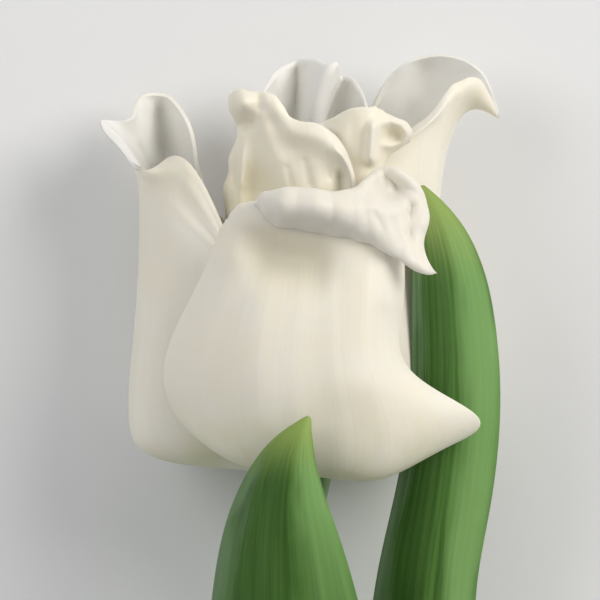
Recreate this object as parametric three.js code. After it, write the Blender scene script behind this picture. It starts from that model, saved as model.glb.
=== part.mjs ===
import * as THREE from 'three';
import { NURBSCurve } from 'three/addons/curves/NURBSCurve.js';

// A cut coronet tulip, lying down. Millimetres; the bloom points to +Y and +Z is up.
// Every point below is measured from the middle of the bloom's base:
// x to the side, y along the bloom, z above its axis.

const AXIS_HEIGHT = 21.2;
const SURFACE = -AXIS_HEIGHT;

const TEPAL_THICKNESS = 0.8;
const LEAF_THICKNESS = 0.9;
const SEAT_GAP = 0.35;

const RECEPTACLE_RADIUS = 4.6;
const RECEPTACLE_TOP = 3.2;
const RECEPTACLE_TOP_RADIUS = 3.9;

// The tepals are seated in two rings round the receptacle, the inner ring higher up.
const OUTER_CLAW = { y: 0.8, radius: 5.5, halfAngle: 27 };
const INNER_CLAW = { y: 2.5, radius: 5, halfAngle: 24 };

const material = (name, color, roughness) =>
  new THREE.MeshStandardMaterial({ name, color, roughness, metalness: 0 });

const PETAL = material('petal', '#ece5d6', 0.55);
const LEAF = material('leaf', '#4f7a36', 0.5);
const STEM = material('stem', '#6f9a58', 0.5);
const PISTIL = material('pistil', '#c3cf8e', 0.6);
const FILAMENT = material('filament', '#e8e3c4', 0.6);
const ANTHER = material('anther', '#d9c370', 0.85);

// Each rib is a smooth curve across the blade, left to right as seen from outside, pulled
// towards its points. The ribs follow one another from the claw to the free margin.

const FRONT_TEPAL = [
  { x: [-9, -7.5, -4.5, 0, 4.5, 9, 12, 13.5],
    y: [3, 1.6, 0.8, 0.5, 0, -0.8, 0.2, 1.8],
    z: [5, 8.5, 11, 11.8, 11.8, 10.5, 7.5, 5] },
  { x: [-16.5, -13.5, -8, -1, 6, 12.5, 19, 23.5],
    y: [6, 3.4, 1.6, 1.2, -0.2, -1.2, 1.5, 5],
    z: [5.5, 11.5, 16.5, 18.7, 18.7, 16.8, 12, 7.5] },
  { x: [-20.3, -17, -10.5, -2.5, 6, 14, 21.5, 30],
    y: [11, 9, 8.2, 8, 7.6, 7, 8, 9.3],
    z: [7, 12.5, 18.5, 21.5, 21.8, 19.5, 14.5, 9.5] },
  { x: [-21.5, -17.5, -11, -3.5, 4, 10, 13.5, 14.3],
    y: 17.5,
    z: [8, 13.5, 19.5, 22.5, 22.5, 20.5, 17.5, 14.5] },
  { x: [-17.3, -14, -8.5, -2, 4.5, 10, 13.8, 15.8],
    y: 26,
    z: [10, 14.5, 19, 21.5, 22, 20.5, 18, 14.8] },
  { x: [-13.5, -11.5, -7.5, -1.5, 4.5, 9.5, 13.3, 15.3],
    y: 34,
    z: [12.5, 15.5, 18.3, 20, 20.5, 19.8, 17.5, 14.5] },
  { x: [-11.4, -9.5, -6.5, -2.5, 2, 6.5, 10.5, 14, 15, 13],
    y: [38.5, 39.8, 40.3, 42, 42.3, 42, 41, 40, 41, 42],
    z: [14, 16.5, 18.2, 19.5, 20, 19.8, 19, 17, 14.5, 12.5] },
  { x: [-11.3, -9, -6, -2.5, 2.5, 7, 11, 15, 17.5, 17, 14, 10.5],
    y: [40.3, 41.9, 41.6, 44.2, 44, 43.2, 41, 37.5, 38.5, 42, 45.8, 45.4],
    z: [15, 18, 19.6, 21.6, 22.3, 22.5, 22.3, 21.5, 18.8, 16.3, 14.3, 12.5] },
  { x: [-11.2, -8.8, -5.5, -1.5, 4, 8.5, 13, 19.5, 18, 20.3, 16.5, 10],
    y: [40, 41, 40.8, 41.8, 41.2, 39.3, 36.5, 33, 37, 41.5, 46.2, 47],
    z: [16, 20.5, 22.6, 25, 25.8, 26, 25.5, 24, 20.3, 17.3, 14.8, 13] },
  { x: [-11, -8.5, -5, -0.5, 5, 9.5, 14, 23, 15.6, 21.8, 17, 9.8],
    y: [39, 38.8, 38.2, 38.1, 37.3, 35.3, 32.6, 28.6, 35.8, 41.8, 47, 46.8],
    z: [16.2, 21.2, 23.8, 26, 26.8, 27, 26.3, 25.3, 21.7, 18, 15.3, 13.2] },
];

const LEFT_TEPAL = [
  { x: [-2.5, -6, -9, -10.8, -11.3, -11, -10],
    y: [2.6, 1.9, 1.4, 1.1, 1.1, 1.6, 2.8],
    z: [-10.5, -10.3, -8.3, -5.5, -2.5, 0, 1.8] },
  { x: [-3, -10.5, -18, -23.5, -25, -21.5, -15.5],
    y: [6, 4.2, 3, 2, 1.6, 2, 4],
    z: [-18.8, -20.5, -17.5, -11, -3.5, 1.5, 3] },
  { x: [-2.5, -11, -19, -25, -28.3, -24, -16],
    y: [12, 10, 9, 8, 7, 7.5, 10.5],
    z: [-20.5, -23.8, -21.5, -14, -4, 2.5, 5.2] },
  { x: [-3, -10.5, -18, -24, -26.3, -22.5, -15],
    y: 21,
    z: [-18.5, -21.2, -19.5, -13, -4, 3.8, 7.5] },
  { x: [-5, -11, -17.5, -23, -25.6, -21.5, -13.2],
    y: 32,
    z: [-15.5, -18.3, -17.5, -12.5, -4.5, 2.8, 7.2] },
  { x: [-12.5, -14.5, -18, -22, -25.2, -24, -18.8, -12.4],
    y: [39.5, 41, 41.5, 41.5, 41, 40.5, 39.5, 37],
    z: [-12, -14.5, -15.5, -13.5, -7.5, -1, 3.8, 6.2] },
  { x: [-14.6, -15.4, -18, -22, -24.8, -25.2, -22.8, -18.6, -12.7],
    y: [42, 47, 50, 50.2, 48.5, 46, 44.3, 44.2, 40.8],
    z: [-10.5, -13, -14.2, -13, -9, -4.5, -0.5, 2.8, 5.5] },
  { x: [-15.2, -15.6, -18.2, -22.2, -26.5, -24.8, -34, -25.9, -22.6, -18.8, -14.8, -11.9],
    y: [43.5, 50.2, 56.6, 58.5, 57.2, 53.6, 54.8, 47.7, 45.6, 50.6, 47, 38.6],
    z: [-9, -10.5, -11.8, -12, -10, -8, -4.5, -1.5, 0.5, 2, 3.8, 5.5] },
];

const RIGHT_TEPAL = [
  { x: [10, 11, 11.3, 10.8, 9, 6, 2.5],
    y: [2.8, 1.6, 1.1, 1.1, 1.4, 1.9, 2.6],
    z: [1.8, 0, -2.5, -5.5, -8.3, -10.3, -10.5] },
  { x: [14, 19.5, 23, 23.5, 19, 11.5, 3],
    y: [4.2, 2.6, 2, 2.4, 3.2, 4.4, 6.2],
    z: [3.8, 1.6, -3, -10, -17.5, -21.3, -19.6] },
  { x: [14.5, 20.5, 25.3, 26, 21, 12, 2.5],
    y: [11.5, 9.6, 8.6, 8.6, 9.4, 10.4, 12.4],
    z: [6.6, 2.8, -4, -12, -20.3, -24.3, -21.6] },
  { x: [14.7, 20, 23.6, 23.8, 19, 11, 3],
    y: 21,
    z: [8.3, 4.3, -2.5, -10, -18, -21.8, -20] },
  { x: [14.7, 19, 21.6, 21.3, 18, 11, 4.5],
    y: 31,
    z: [8.5, 5, -0.5, -8, -15.5, -19, -17.5] },
  { x: [14.8, 17.7, 20.3, 20.9, 19.6, 16.2, 12, 7],
    y: [39, 40, 40, 40.3, 40.8, 41.5, 42.3, 42],
    z: [7.6, 6, 2, -4.5, -10.5, -14.8, -16.3, -14.5] },
  { x: [15.5, 17.8, 20.1, 21.8, 22.4, 21.1, 17.5, 12.5, 8.5],
    y: [44.5, 47.5, 49.5, 50.8, 51.5, 52, 52.5, 52, 49],
    z: [6.2, 6, 3.6, -0.5, -6, -10.5, -13.8, -14.5, -12.5] },
  { x: [16.2, 18.2, 20.8, 23.7, 26, 24.6, 20, 13.5, 9],
    y: [48.5, 51.8, 54.5, 57.2, 56.3, 58.5, 60.2, 58, 53],
    z: [4.8, 5.8, 4.5, 0.8, -4, -8, -12, -13.5, -12] },
  { x: [16.5, 18, 20.4, 21.8, 24.4, 28.4, 30.4, 28.2, 24.4, 18.8, 12.3, 9.8],
    y: [51.5, 53.2, 54.6, 59.2, 60.2, 61.4, 50.2, 61.2, 63.4, 64.8, 61.5, 54.5],
    z: [4.4, 5.3, 5, 3, 0.8, -1.5, -3.5, -4.5, -6.5, -9.5, -11.5, -11.5] },
];

const INNER_LEFT_TEPAL = [
  { x: [-9, -9.6, -8, -5, -2, 0.5],
    y: [5, 3.9, 3.4, 3.4, 3.9, 5],
    z: [-2.5, 1.5, 5.5, 8.5, 10.3, 10.5] },
  { x: [-13.8, -14.3, -12, -7, -1.5, 3],
    y: 10,
    z: [-4, 1.5, 8.3, 13.3, 15.5, 15.8] },
  { x: [-14.7, -15.2, -12.7, -7, -1, 4.5],
    y: 18,
    z: [-4.5, 1.5, 8.8, 14, 16.3, 16.3] },
  { x: [-13.5, -14, -12.2, -8.6, -3.8, 1, 5.5],
    y: 28,
    z: [-4, 0.5, 6, 10.8, 13.8, 14.8, 14.6] },
  { x: [-11.8, -12.6, -11.8, -10, -7.5, -4.5, -1, 2.5, 5.8],
    y: 36.5,
    z: [-3, 0, 3.8, 6.3, 8.7, 11.9, 12.8, 13.3, 12.8] },
  { x: [-11, -12.3, -12.2, -10, -8, -5.5, -3, 0, 3.2, 6.2],
    y: 44,
    z: [-2, 0.5, 4.2, 6.8, 6.8, 11, 11.2, 12.6, 12.9, 11.5] },
  { x: [-8.6, -9, -8.8, -7.6, -6.4, -4.6, -3, -0.5, 2.2, 4.8, 6.5],
    y: [50, 50.5, 51, 51.5, 51.5, 51.5, 50.5, 49.5, 49.5, 49, 46.5],
    z: [-1.5, 1, 4.2, 6, 7.4, 9.6, 9, 10.4, 12, 12, 11.5] },
  { x: [-8.2, -9.6, -9.6, -7.8, -5.8, -4.2, -2.2, 0.5, 3, 5, 6.8],
    y: [53.5, 56.5, 59.3, 60, 59, 56.8, 54.2, 53.6, 53.5, 52, 47.5],
    z: [-0.5, 1.5, 4.5, 6.5, 7.8, 9.2, 9.8, 11, 12.3, 12.8, 12.5] },
  { x: [-9.2, -11.4, -11.7, -8.2, -5.4, -3.4, -1.5, 1, 4, 6, 7],
    y: [52.8, 54, 53.2, 52.6, 56, 55, 51.8, 50.6, 50.5, 49.5, 46.5],
    z: [1, 4.5, 8.8, 10.5, 9.3, 10, 11.8, 13.3, 14.6, 14.8, 13.5] },
];

const INNER_RIGHT_TEPAL = [
  { x: [1.5, 5, 8, 9.8, 10, 9],
    y: [5, 3.9, 3.4, 3.4, 3.9, 5],
    z: [9.3, 9, 6.5, 3.2, -0.3, -3.5] },
  { x: [2.5, 7.5, 11.8, 14, 14.2, 12.8],
    y: 10,
    z: [13, 12.8, 10, 4.8, -0.8, -5.2] },
  { x: [2.5, 8, 12.3, 14.6, 14.7, 13.2],
    y: 18,
    z: [13.2, 12.6, 9.6, 4, -1.8, -6.4] },
  { x: [3, 7.8, 11.6, 13.6, 13.7, 12.5],
    y: 28,
    z: [12, 11.6, 8.8, 4, -1.2, -5.8] },
  { x: [3.5, 7, 10, 12.2, 13.2, 13, 11.6],
    y: 36.5,
    z: [10.8, 10.6, 9.4, 7, 3.4, -0.8, -4.6] },
  { x: [3.2, 6, 8.6, 10.8, 12.4, 13.3, 13, 11],
    y: 44,
    z: [9.8, 9.6, 10.3, 9.8, 7.2, 3.8, 0, -3.8] },
  { x: [3.4, 6, 8.6, 10.6, 11.6, 13, 14, 13.6, 11.3],
    y: [50, 51, 51.5, 51, 50, 49.3, 49.3, 49.5, 49],
    z: [8.4, 8.8, 9.6, 11.2, 9.3, 7.8, 5, 1, -2.8] },
  { x: [4.2, 6.2, 8.6, 10.6, 11.3, 12, 14, 16.2, 16.2, 14.2, 12],
    y: [54, 55.3, 56.2, 56.8, 54.8, 52.8, 54.2, 54.6, 53, 51.5, 50.5],
    z: [7.8, 8.5, 9.3, 10.5, 12, 9, 8.7, 8.2, 6, 2.5, -1] },
  { x: [4.5, 6.5, 9, 11.6, 10.1, 12, 14, 17.5, 17.5, 14.6, 12.5],
    y: [54.2, 55.4, 55.8, 54.8, 45, 51.5, 53, 53.6, 51, 49.5, 50],
    z: [8.5, 9.8, 11.3, 13.5, 15.2, 11.5, 11, 10.8, 8.6, 4.6, 0] },
];

const INNER_BACK_TEPAL = [
  { x: [7, 4.8, 1.8, -1.8, -4.8, -7],
    y: [5, 3.9, 3.4, 3.4, 3.9, 5],
    z: [-6.5, -8.6, -9.6, -9.6, -8.6, -6.5] },
  { x: [11, 8, 3, -3, -8, -11],
    y: 10,
    z: [-9, -12.8, -15.2, -15.2, -12.8, -9] },
  { x: [12, 8.5, 3.2, -3.2, -8.5, -12],
    y: 19,
    z: [-8.8, -13.2, -15.9, -15.9, -13.2, -8.8] },
  { x: [11.5, 8.3, 3.2, -3.2, -8.3, -11.5],
    y: 29,
    z: [-7.3, -11.5, -14.2, -14.2, -11.5, -7.3] },
  { x: [11, 8.6, 4.8, 0.5, -3.8, -7.8, -10.5],
    y: 39,
    z: [-5.3, -9.2, -11.8, -12, -12, -9.3, -5.3] },
  { x: [10.6, 9.2, 6.6, 3.2, 1.2, -1, -3.4, -6, -8.5],
    y: 47,
    z: [-3.5, -6.8, -9.5, -10.3, -8.3, -10.6, -11.5, -8.8, -4.5] },
  { x: [10.6, 9.6, 7, 3.4, 2.2, 2, -0.8, -2.8, -5.2, -7.2],
    y: 54,
    z: [-2.6, -5.5, -9, -10.3, -9, -4.3, -9.6, -11.2, -8, -3.8] },
  { x: [10.3, 9.5, 7.5, 4, 4.3, 5.3, 1.2, -2, -5, -6.8],
    y: [55, 58.5, 60.8, 60.5, 61, 62.4, 63.2, 62.6, 60.2, 56.8],
    z: [-2, -4.6, -8, -9.5, -7.5, -3, -8.3, -10, -7.3, -3.2] },
];

// The leaves, from the clasping base to the tip.

const FRONT_LEAF = [
  { x: [-4.2, -4.6, 0.5, 5.6, 5.2], y: -118, z: [-10, -3.9, -2.5, -3.9, -10] },
  { x: [-5, -4.8, 0.5, 5.8, 6], y: -110, z: [-9.5, -3, -1, -3, -9.5] },
  { x: [-9, -6.5, 0, 6, 7.8], y: -95, z: [-7, -0.5, 3.5, 0, -5.5] },
  { x: [-14, -8.5, -0.5, 7.5, 12], y: -70, z: [-1, 5, 9.5, 6.5, 1] },
  { x: [-15.5, -9.5, -1.5, 7, 13], y: -45, z: [7, 13, 17.5, 14, 8] },
  { x: [-14.5, -9, -2.2, 5, 10.5], y: -25, z: [13.5, 19.5, 23.5, 20.5, 15] },
  { x: [-12.5, -8.5, -2.8, 2.5, 6.3], y: -10, z: [18.5, 23.5, 26.5, 24, 20] },
  { x: [-9.5, -6.5, -2.5, 0.8, 2.6], y: 0, z: [21.5, 25.5, 27.5, 26, 23.5] },
  { x: [-4.8, -3, -1, 0.6, 1.5], y: 6.5, z: [24.5, 26.5, 27.5, 27, 26] },
  { x: [0.2, 0.5, 0.8, 1.1, 1.4], y: 9.5, z: [25.2, 25.3, 25.4, 25.3, 25.2] },
];

const SIDE_LEAF = [
  { x: [-1.5, 3.5, 7.5, 3.5, -1.5], y: -158, z: [-7, -6.5, -12.5, -18.5, -18] },
  { x: [-1, 5, 8.5, 5, -1], y: -148, z: [-5, -5, -11.5, -17.5, -17.5] },
  { x: [6, 9.5, 12, 11, 8.5], y: -125, z: [-2.5, -5, -9.5, -14.5, -17.5] },
  { x: [14, 15.2, 17.2, 18.4, 19.2], y: -95, z: [-2, -4.5, -7.5, -11.5, -15] },
  { x: [7.5, 12, 17.5, 21.5, 24], y: -60, z: [-6.5, -5, -4, -7.5, -12] },
  { x: [9.5, 14, 19.5, 24, 27], y: -35, z: [-3, 0, 1.5, -1.5, -6] },
  { x: [10.3, 14.5, 20, 23.5, 25.5], y: -18, z: [-0.5, 2, 4, 2, -1] },
  { x: [13.5, 17, 21.5, 26, 28.7], y: -5, z: [1.3, 3.6, 4.8, 3.3, 0.5] },
  { x: [16.6, 19.5, 23.2, 27.5, 30.4], y: 10, z: [8, 8.2, 7.5, 5, 1.5] },
  { x: [16.4, 19, 22.8, 26.9, 29.4], y: 24, z: [10.6, 10.3, 9, 5.5, 1.5] },
  { x: [16.6, 18.5, 21.8, 25.2, 27.2], y: 34, z: [11, 10.8, 9.5, 6.5, 3.5] },
  { x: [16.6, 17.8, 19.6, 21.6, 23], y: 40.5, z: [10.8, 10.4, 9.4, 8, 6.8] },
  { x: [17.2, 17.5, 17.8, 18.1, 18.4], y: 44, z: [9.6, 9.5, 9.4, 9.3, 9.2] },
];

const STEM_POINTS = [
  [-1, -235, -18.9], [0, -190, -15], [0.5, -140, -10.2], [0.5, -90, -5], [0, -40, -1], [0, -10, 0],
  [0, 0.5, 0], [0, RECEPTACLE_TOP, 0],
];
const STEM_RADII = [3.3, 3.3, 3.2, 3.1, 3, 3.1, RECEPTACLE_RADIUS, RECEPTACLE_TOP_RADIUS];

// Pistil and stamens stand on top of the receptacle.
const FOOT = RECEPTACLE_TOP + SEAT_GAP;

const PISTIL_LENGTH = 19;
const PISTIL_RADII = [1.9, 2.3, 2.2, 1.8, 2.2, 3];
const LOBE_DEPTH = 0.08;
const STIGMA_LOBE_DEPTH = 0.48;
const STIGMA_START = 0.8;

// Distances from the axis, and heights above the foot.
const STAMEN_COUNT = 6;
const FILAMENT_POINTS = [[3.1, 0], [3.2, 2.5], [4.3, 9]];
const FILAMENT_RADII = [0.6, 0.8, 0.45];
const ANTHER_POINTS = [[4.4, 9.35], [4.6, 11.3], [5.3, 16.3], [5.7, 19.3]];
const ANTHER_RADII = [0.7, 1.25, 1.2, 0.5];

// The narrow foot of a tepal, an arc round the receptacle.
function claw(azimuth, { y, radius, halfAngle }) {
  const rib = { x: [], y, z: [] };
  for (const side of [1, 0.5, 0, -0.5, -1]) {
    const angle = THREE.MathUtils.degToRad(azimuth + side * halfAngle);
    rib.x.push(radius * Math.cos(angle));
    rib.z.push(radius * Math.sin(angle));
  }
  return rib;
}

function smoothCurve(points) {
  const degree = 3;
  const spans = points.length - degree;
  const knots = Array.from({ length: points.length + degree + 1 },
    (_, i) => THREE.MathUtils.clamp(i - degree, 0, spans) / spans);
  return new NURBSCurve(degree, knots, points.map((p) => new THREE.Vector4(p.x, p.y, p.z, 1)));
}

const samples = (curve, count) =>
  Array.from({ length: count + 1 }, (_, i) => curve.getPoint(i / count));

function ribCurve({ x, y, z }) {
  return smoothCurve(x.map((_, i) => new THREE.Vector3(x[i], y[i] ?? y, z[i])));
}

// A smooth sheet over the ribs, with a thickness towards its inner side.
function blade(ribs, { across, along, thickness }) {
  const ribPoints = ribs.map((rib) => samples(ribCurve(rib), across));
  const columns = ribPoints[0].map((_, i) =>
    samples(smoothCurve(ribPoints.map((points) => points[i])), along));
  const at = (i, j) => columns[i][j];

  const outer = [];
  const inner = [];
  for (let j = 0; j <= along; j++) {
    for (let i = 0; i <= across; i++) {
      const alongU = at(Math.min(i + 1, across), j).clone().sub(at(Math.max(i - 1, 0), j));
      const alongV = at(i, Math.min(j + 1, along)).clone().sub(at(i, Math.max(j - 1, 0)));
      const normal = alongU.cross(alongV).normalize();
      const outside = at(i, j).clone();
      const inside = outside.clone().addScaledVector(normal, -thickness);
      outside.z = Math.max(outside.z, SURFACE);
      inside.z = Math.max(inside.z, SURFACE + thickness);
      outer.push(outside);
      inner.push(inside);
    }
  }

  const index = (i, j) => j * (across + 1) + i;
  const count = outer.length;
  const triangles = [];
  for (let j = 0; j < along; j++) {
    for (let i = 0; i < across; i++) {
      const [a, b, c, d] = [index(i, j), index(i + 1, j), index(i + 1, j + 1), index(i, j + 1)];
      triangles.push(a, b, c, a, c, d);
      triangles.push(a + count, c + count, b + count, a + count, d + count, c + count);
    }
  }
  const rim = [];
  for (let i = 0; i < across; i++) rim.push(index(i, 0));
  for (let j = 0; j < along; j++) rim.push(index(across, j));
  for (let i = across; i > 0; i--) rim.push(index(i, along));
  for (let j = along; j > 0; j--) rim.push(index(0, j));
  rim.forEach((a, k) => {
    const b = rim[(k + 1) % rim.length];
    triangles.push(a, a + count, b, b, a + count, b + count);
  });
  const geometry = new THREE.BufferGeometry().setFromPoints([...outer, ...inner]);
  geometry.setIndex(triangles);
  return geometry;
}

// A closed stalk of round rings along a curve that runs roughly along Y.
function stalk(points, radii, { sides, steps, outline = () => 1 }) {
  const curve = new THREE.CatmullRomCurve3(points.map((p) => new THREE.Vector3(...p)));
  const swell = new THREE.SplineCurve(radii.map((r, i) => new THREE.Vector2(i, r)));
  const vertices = [];
  const up = new THREE.Vector3(0, 0, 1);
  for (let j = 0; j <= steps; j++) {
    const t = j / steps;
    const centre = curve.getPoint(t);
    const tangent = curve.getTangent(t);
    const side = new THREE.Vector3().crossVectors(tangent, up).normalize();
    const front = new THREE.Vector3().crossVectors(side, tangent);
    const radius = swell.getPoint(t).y;
    for (let i = 0; i < sides; i++) {
      const angle = (2 * Math.PI * i) / sides;
      const r = radius * outline(angle, t);
      const point = centre.clone()
        .addScaledVector(side, r * Math.cos(angle))
        .addScaledVector(front, r * Math.sin(angle));
      point.z = Math.max(point.z, SURFACE);
      vertices.push(point);
    }
  }
  vertices.push(curve.getPoint(0), curve.getPoint(1));
  const [start, end] = [vertices.length - 2, vertices.length - 1];
  const last = steps * sides;
  const triangles = [];
  for (let i = 0; i < sides; i++) {
    const next = (i + 1) % sides;
    for (let j = 0; j < steps; j++) {
      const [a, b] = [j * sides + i, j * sides + next];
      triangles.push(a, b + sides, b, a, a + sides, b + sides);
    }
    triangles.push(start, i, next, end, last + next, last + i);
  }
  const geometry = new THREE.BufferGeometry().setFromPoints(vertices);
  geometry.setIndex(triangles);
  return geometry;
}

const flower = new THREE.Group();

function add(name, geometry, finish) {
  const mesh = new THREE.Mesh(geometry, finish);
  mesh.name = name;
  flower.add(mesh);
}

const tepal = (azimuth, foot, ribs) =>
  blade([claw(azimuth, foot), ...ribs], { across: 18, along: 20, thickness: TEPAL_THICKNESS });

const leaf = (ribs) => blade(ribs, { across: 8, along: 24, thickness: LEAF_THICKNESS });

add('outer_tepal_front', tepal(90, OUTER_CLAW, FRONT_TEPAL), PETAL);
add('outer_tepal_left', tepal(210, OUTER_CLAW, LEFT_TEPAL), PETAL);
add('outer_tepal_right', tepal(330, OUTER_CLAW, RIGHT_TEPAL), PETAL);
add('inner_tepal_left', tepal(150, INNER_CLAW, INNER_LEFT_TEPAL), PETAL);
add('inner_tepal_right', tepal(30, INNER_CLAW, INNER_RIGHT_TEPAL), PETAL);
add('inner_tepal_back', tepal(270, INNER_CLAW, INNER_BACK_TEPAL), PETAL);
add('leaf_front', leaf(FRONT_LEAF), LEAF);
add('leaf_side', leaf(SIDE_LEAF), LEAF);
add('stem', stalk(STEM_POINTS, STEM_RADII, { sides: 12, steps: 28 }), STEM);

function threeLobed(angle, t) {
  const depth = THREE.MathUtils.lerp(LOBE_DEPTH, STIGMA_LOBE_DEPTH,
    THREE.MathUtils.smoothstep(t, STIGMA_START, 1));
  return 1 + depth * Math.cos(3 * angle);
}

const pistilPoints = PISTIL_RADII.map((_, i) =>
  [0, FOOT + (i / (PISTIL_RADII.length - 1)) * PISTIL_LENGTH, 0]);
add('pistil', stalk(pistilPoints, PISTIL_RADII, { sides: 12, steps: 12, outline: threeLobed }), PISTIL);

for (let i = 0; i < STAMEN_COUNT; i++) {
  const angle = ((i + 0.5) * 2 * Math.PI) / STAMEN_COUNT;
  const stand = ([radius, height]) =>
    [radius * Math.cos(angle), FOOT + height, radius * Math.sin(angle)];
  const filament = stalk(FILAMENT_POINTS.map(stand), FILAMENT_RADII, { sides: 6, steps: 4 });
  const anther = stalk(ANTHER_POINTS.map(stand), ANTHER_RADII, { sides: 6, steps: 6 });
  add(`filament_${i + 1}`, filament, FILAMENT);
  add(`anther_${i + 1}`, anther, ANTHER);
}

// The origin goes to the middle of the footprint, on the surface the flower lies on.
const extent = new THREE.Box3().setFromObject(flower);
const middle = extent.getCenter(new THREE.Vector3());
flower.position.set(-middle.x, -middle.y, -extent.min.z);

export default flower;
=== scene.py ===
"""Dresses the solids of a cut coronet tulip, which lies on a pale floor: six tepals, two leaves, stem, pistil
and stamens. Lengths are in metres, but the points, radii, bumps and folds that shape the pieces are in
millimetres, and the points start from the bloom's base."""

import math

import bmesh
import bpy
import numpy as np
from bpy.props import FloatProperty, FloatVectorProperty, IntProperty, PointerProperty
from bpy.types import NodeSocket, Operator, Panel, PropertyGroup
from mathutils import Matrix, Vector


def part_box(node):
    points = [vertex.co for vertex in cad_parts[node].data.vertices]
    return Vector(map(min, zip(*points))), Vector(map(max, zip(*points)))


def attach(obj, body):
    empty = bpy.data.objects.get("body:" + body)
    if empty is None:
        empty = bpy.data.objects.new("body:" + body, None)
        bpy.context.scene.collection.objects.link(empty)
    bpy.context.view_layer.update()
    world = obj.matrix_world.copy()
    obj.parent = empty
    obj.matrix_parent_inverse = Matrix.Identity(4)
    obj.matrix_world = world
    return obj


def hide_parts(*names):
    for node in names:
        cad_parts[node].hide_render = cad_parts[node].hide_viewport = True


bl_info = {
    "name": "Coronet Tulip",
    "version": (1, 0, 0),
    "blender": (4, 5, 0),
    "location": "View3D > Sidebar > Tulip",
    "description": "Petals, leaves, stem, pistil and stamens of a cut coronet tulip",
    "category": "Add Mesh",
}

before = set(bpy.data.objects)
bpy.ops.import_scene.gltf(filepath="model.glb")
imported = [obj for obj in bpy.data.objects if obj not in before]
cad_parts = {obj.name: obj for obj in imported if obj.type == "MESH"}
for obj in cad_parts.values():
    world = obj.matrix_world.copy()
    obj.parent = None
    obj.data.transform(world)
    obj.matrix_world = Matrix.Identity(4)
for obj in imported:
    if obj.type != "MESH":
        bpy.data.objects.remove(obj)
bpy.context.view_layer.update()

MM = 0.001
RECEPTACLE_TOP = 3.2
STAMENS = 6

# Each rib runs across the blade, left to right as seen from outside: its x, y and z values, or one y for all.
# The ribs follow one another from the foot of the petal or leaf to its free margin.
OUTER_FRONT = [
    ([-9, -7.5, -4.5, 0, 4.5, 9, 12, 13.5],
     [3, 1.6, 0.8, 0.5, 0, -0.8, 0.2, 1.8],
     [5, 8, 9.8, 10.4, 10.4, 9.4, 7, 5]),
    ([-16.5, -13.5, -8, -1, 6, 12.5, 17.5, 20.5],
     [5.1, 2, -0.4, -0.2, -1.4, -2.6, 0.4, 4],
     [5.5, 10.8, 14.8, 16.2, 15.6, 13.4, 9.8, 7]),
    ([-20.3, -17, -10.5, -2.5, 6, 14, 21.5, 31.8],
     [11, 9, 8.2, 8, 7.6, 7, 7.4, 8.6],
     [7, 12.5, 18.3, 21.2, 21.4, 19.2, 14.5, 9.5]),
    ([-21.5, -17.5, -11, -3.5, 4, 9.6, 12.3, 12.6],
     [17.5, 17.5, 17.5, 17.5, 17.5, 17.2, 16.3, 15.5],
     [8, 13.5, 19.5, 22.5, 22.7, 20.8, 18, 15]),
    ([-17.3, -14, -8.5, -2, 4.5, 10, 13.8, 15.8], 26, [10, 14.5, 19, 21.5, 22, 20.5, 18, 14.8]),
    ([-13.5, -11.5, -7.5, -1.5, 4.5, 9.5, 13.3, 15.3], 33, [12.5, 15.5, 18.3, 20, 20.5, 19.8, 17.5, 14.5]),
    ([-12.2, -11.3, -9.3, -6.2, -2.6, 1, 4.8, 8.2, 11.2, 13.6, 14.8, 15.4],
     [37, 37.2, 37.6, 37.8, 38, 38, 38, 38, 37.8, 37.4, 37, 36.8],
     [13, 14.3, 16.2, 17.8, 18.8, 19.4, 19.5, 19.1, 18, 16.6, 15.4, 14.3]),
    ([-11.3, -10.6, -8.8, -6.4, -3.4, 1, 4.8, 8.3, 11.3, 14.3, 15.8, 15.2],
     [38.4, 39.6, 39.8, 40, 41, 41.2, 41, 41.4, 43.2, 42.8, 41.2, 39.4],
     [13.4, 14.9, 16.8, 18.4, 19.6, 19.8, 19.6, 18, 15.2, 14.4, 13.8, 12.8]),
    ([-11, -10.5, -8.8, -6.4, -3.6, 1, 4.8, 8.8, 12.2, 15.8, 18, 17],
     [38.8, 41, 42, 41.4, 43.3, 43.7, 42.1, 43.2, 48.7, 46.2, 44, 41.8],
     [12.8, 14, 16.2, 18, 21, 22, 22, 20.4, 18.4, 17, 15.6, 14]),
    ([-10.8, -10.1, -8.5, -6.2, -3.9, 1, 5, 9, 12.4, 15.4, 18.5, 18.2],
     [38.2, 40.4, 41.2, 41.6, 42.2, 42.3, 41.2, 41.6, 44, 43, 43, 41.2],
     [11.8, 12.8, 14.6, 17.6, 23, 24, 23.4, 21, 18.4, 18, 17.4, 15.2]),
    ([-10.4, -9.6, -8, -5.9, -4.2, 1.2, 5.4, 9.6, 12.8, 15.2, 18.5, 19],
     [37.2, 39.2, 40.2, 41.2, 40.4, 40.3, 39.9, 39.8, 40.6, 39.6, 39.4, 38.8],
     [11, 12, 13.6, 17.6, 24, 25, 24.6, 23.2, 21.4, 19, 18.8, 17]),
    ([-10, -9.2, -7.6, -5.6, -4.3, 1.4, 6, 10.6, 14.2, 15.6, 16.6, 16.9],
     [36, 37.5, 38.6, 40.8, 39, 38.7, 38, 36.5, 34.4, 33.8, 33.7, 33.8],
     [10.6, 11.6, 12.9, 17.6, 22.2, 22.8, 22.8, 22.7, 22, 21.4, 20.8, 20.2]),
    ([-9.8, -9, -7.4, -5.4, -4.4, 1.4, 6.2, 11, 15.4, 17.4, 18.9, 20.2],
     [35, 36, 37.2, 40.4, 37.8, 37, 36.6, 35.1, 32.5, 31.4, 30.8, 30.6],
     [10.4, 11.4, 12.6, 17.4, 17.4, 17.8, 19.2, 21.4, 21.6, 21.4, 21, 20.8]),
]

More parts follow.
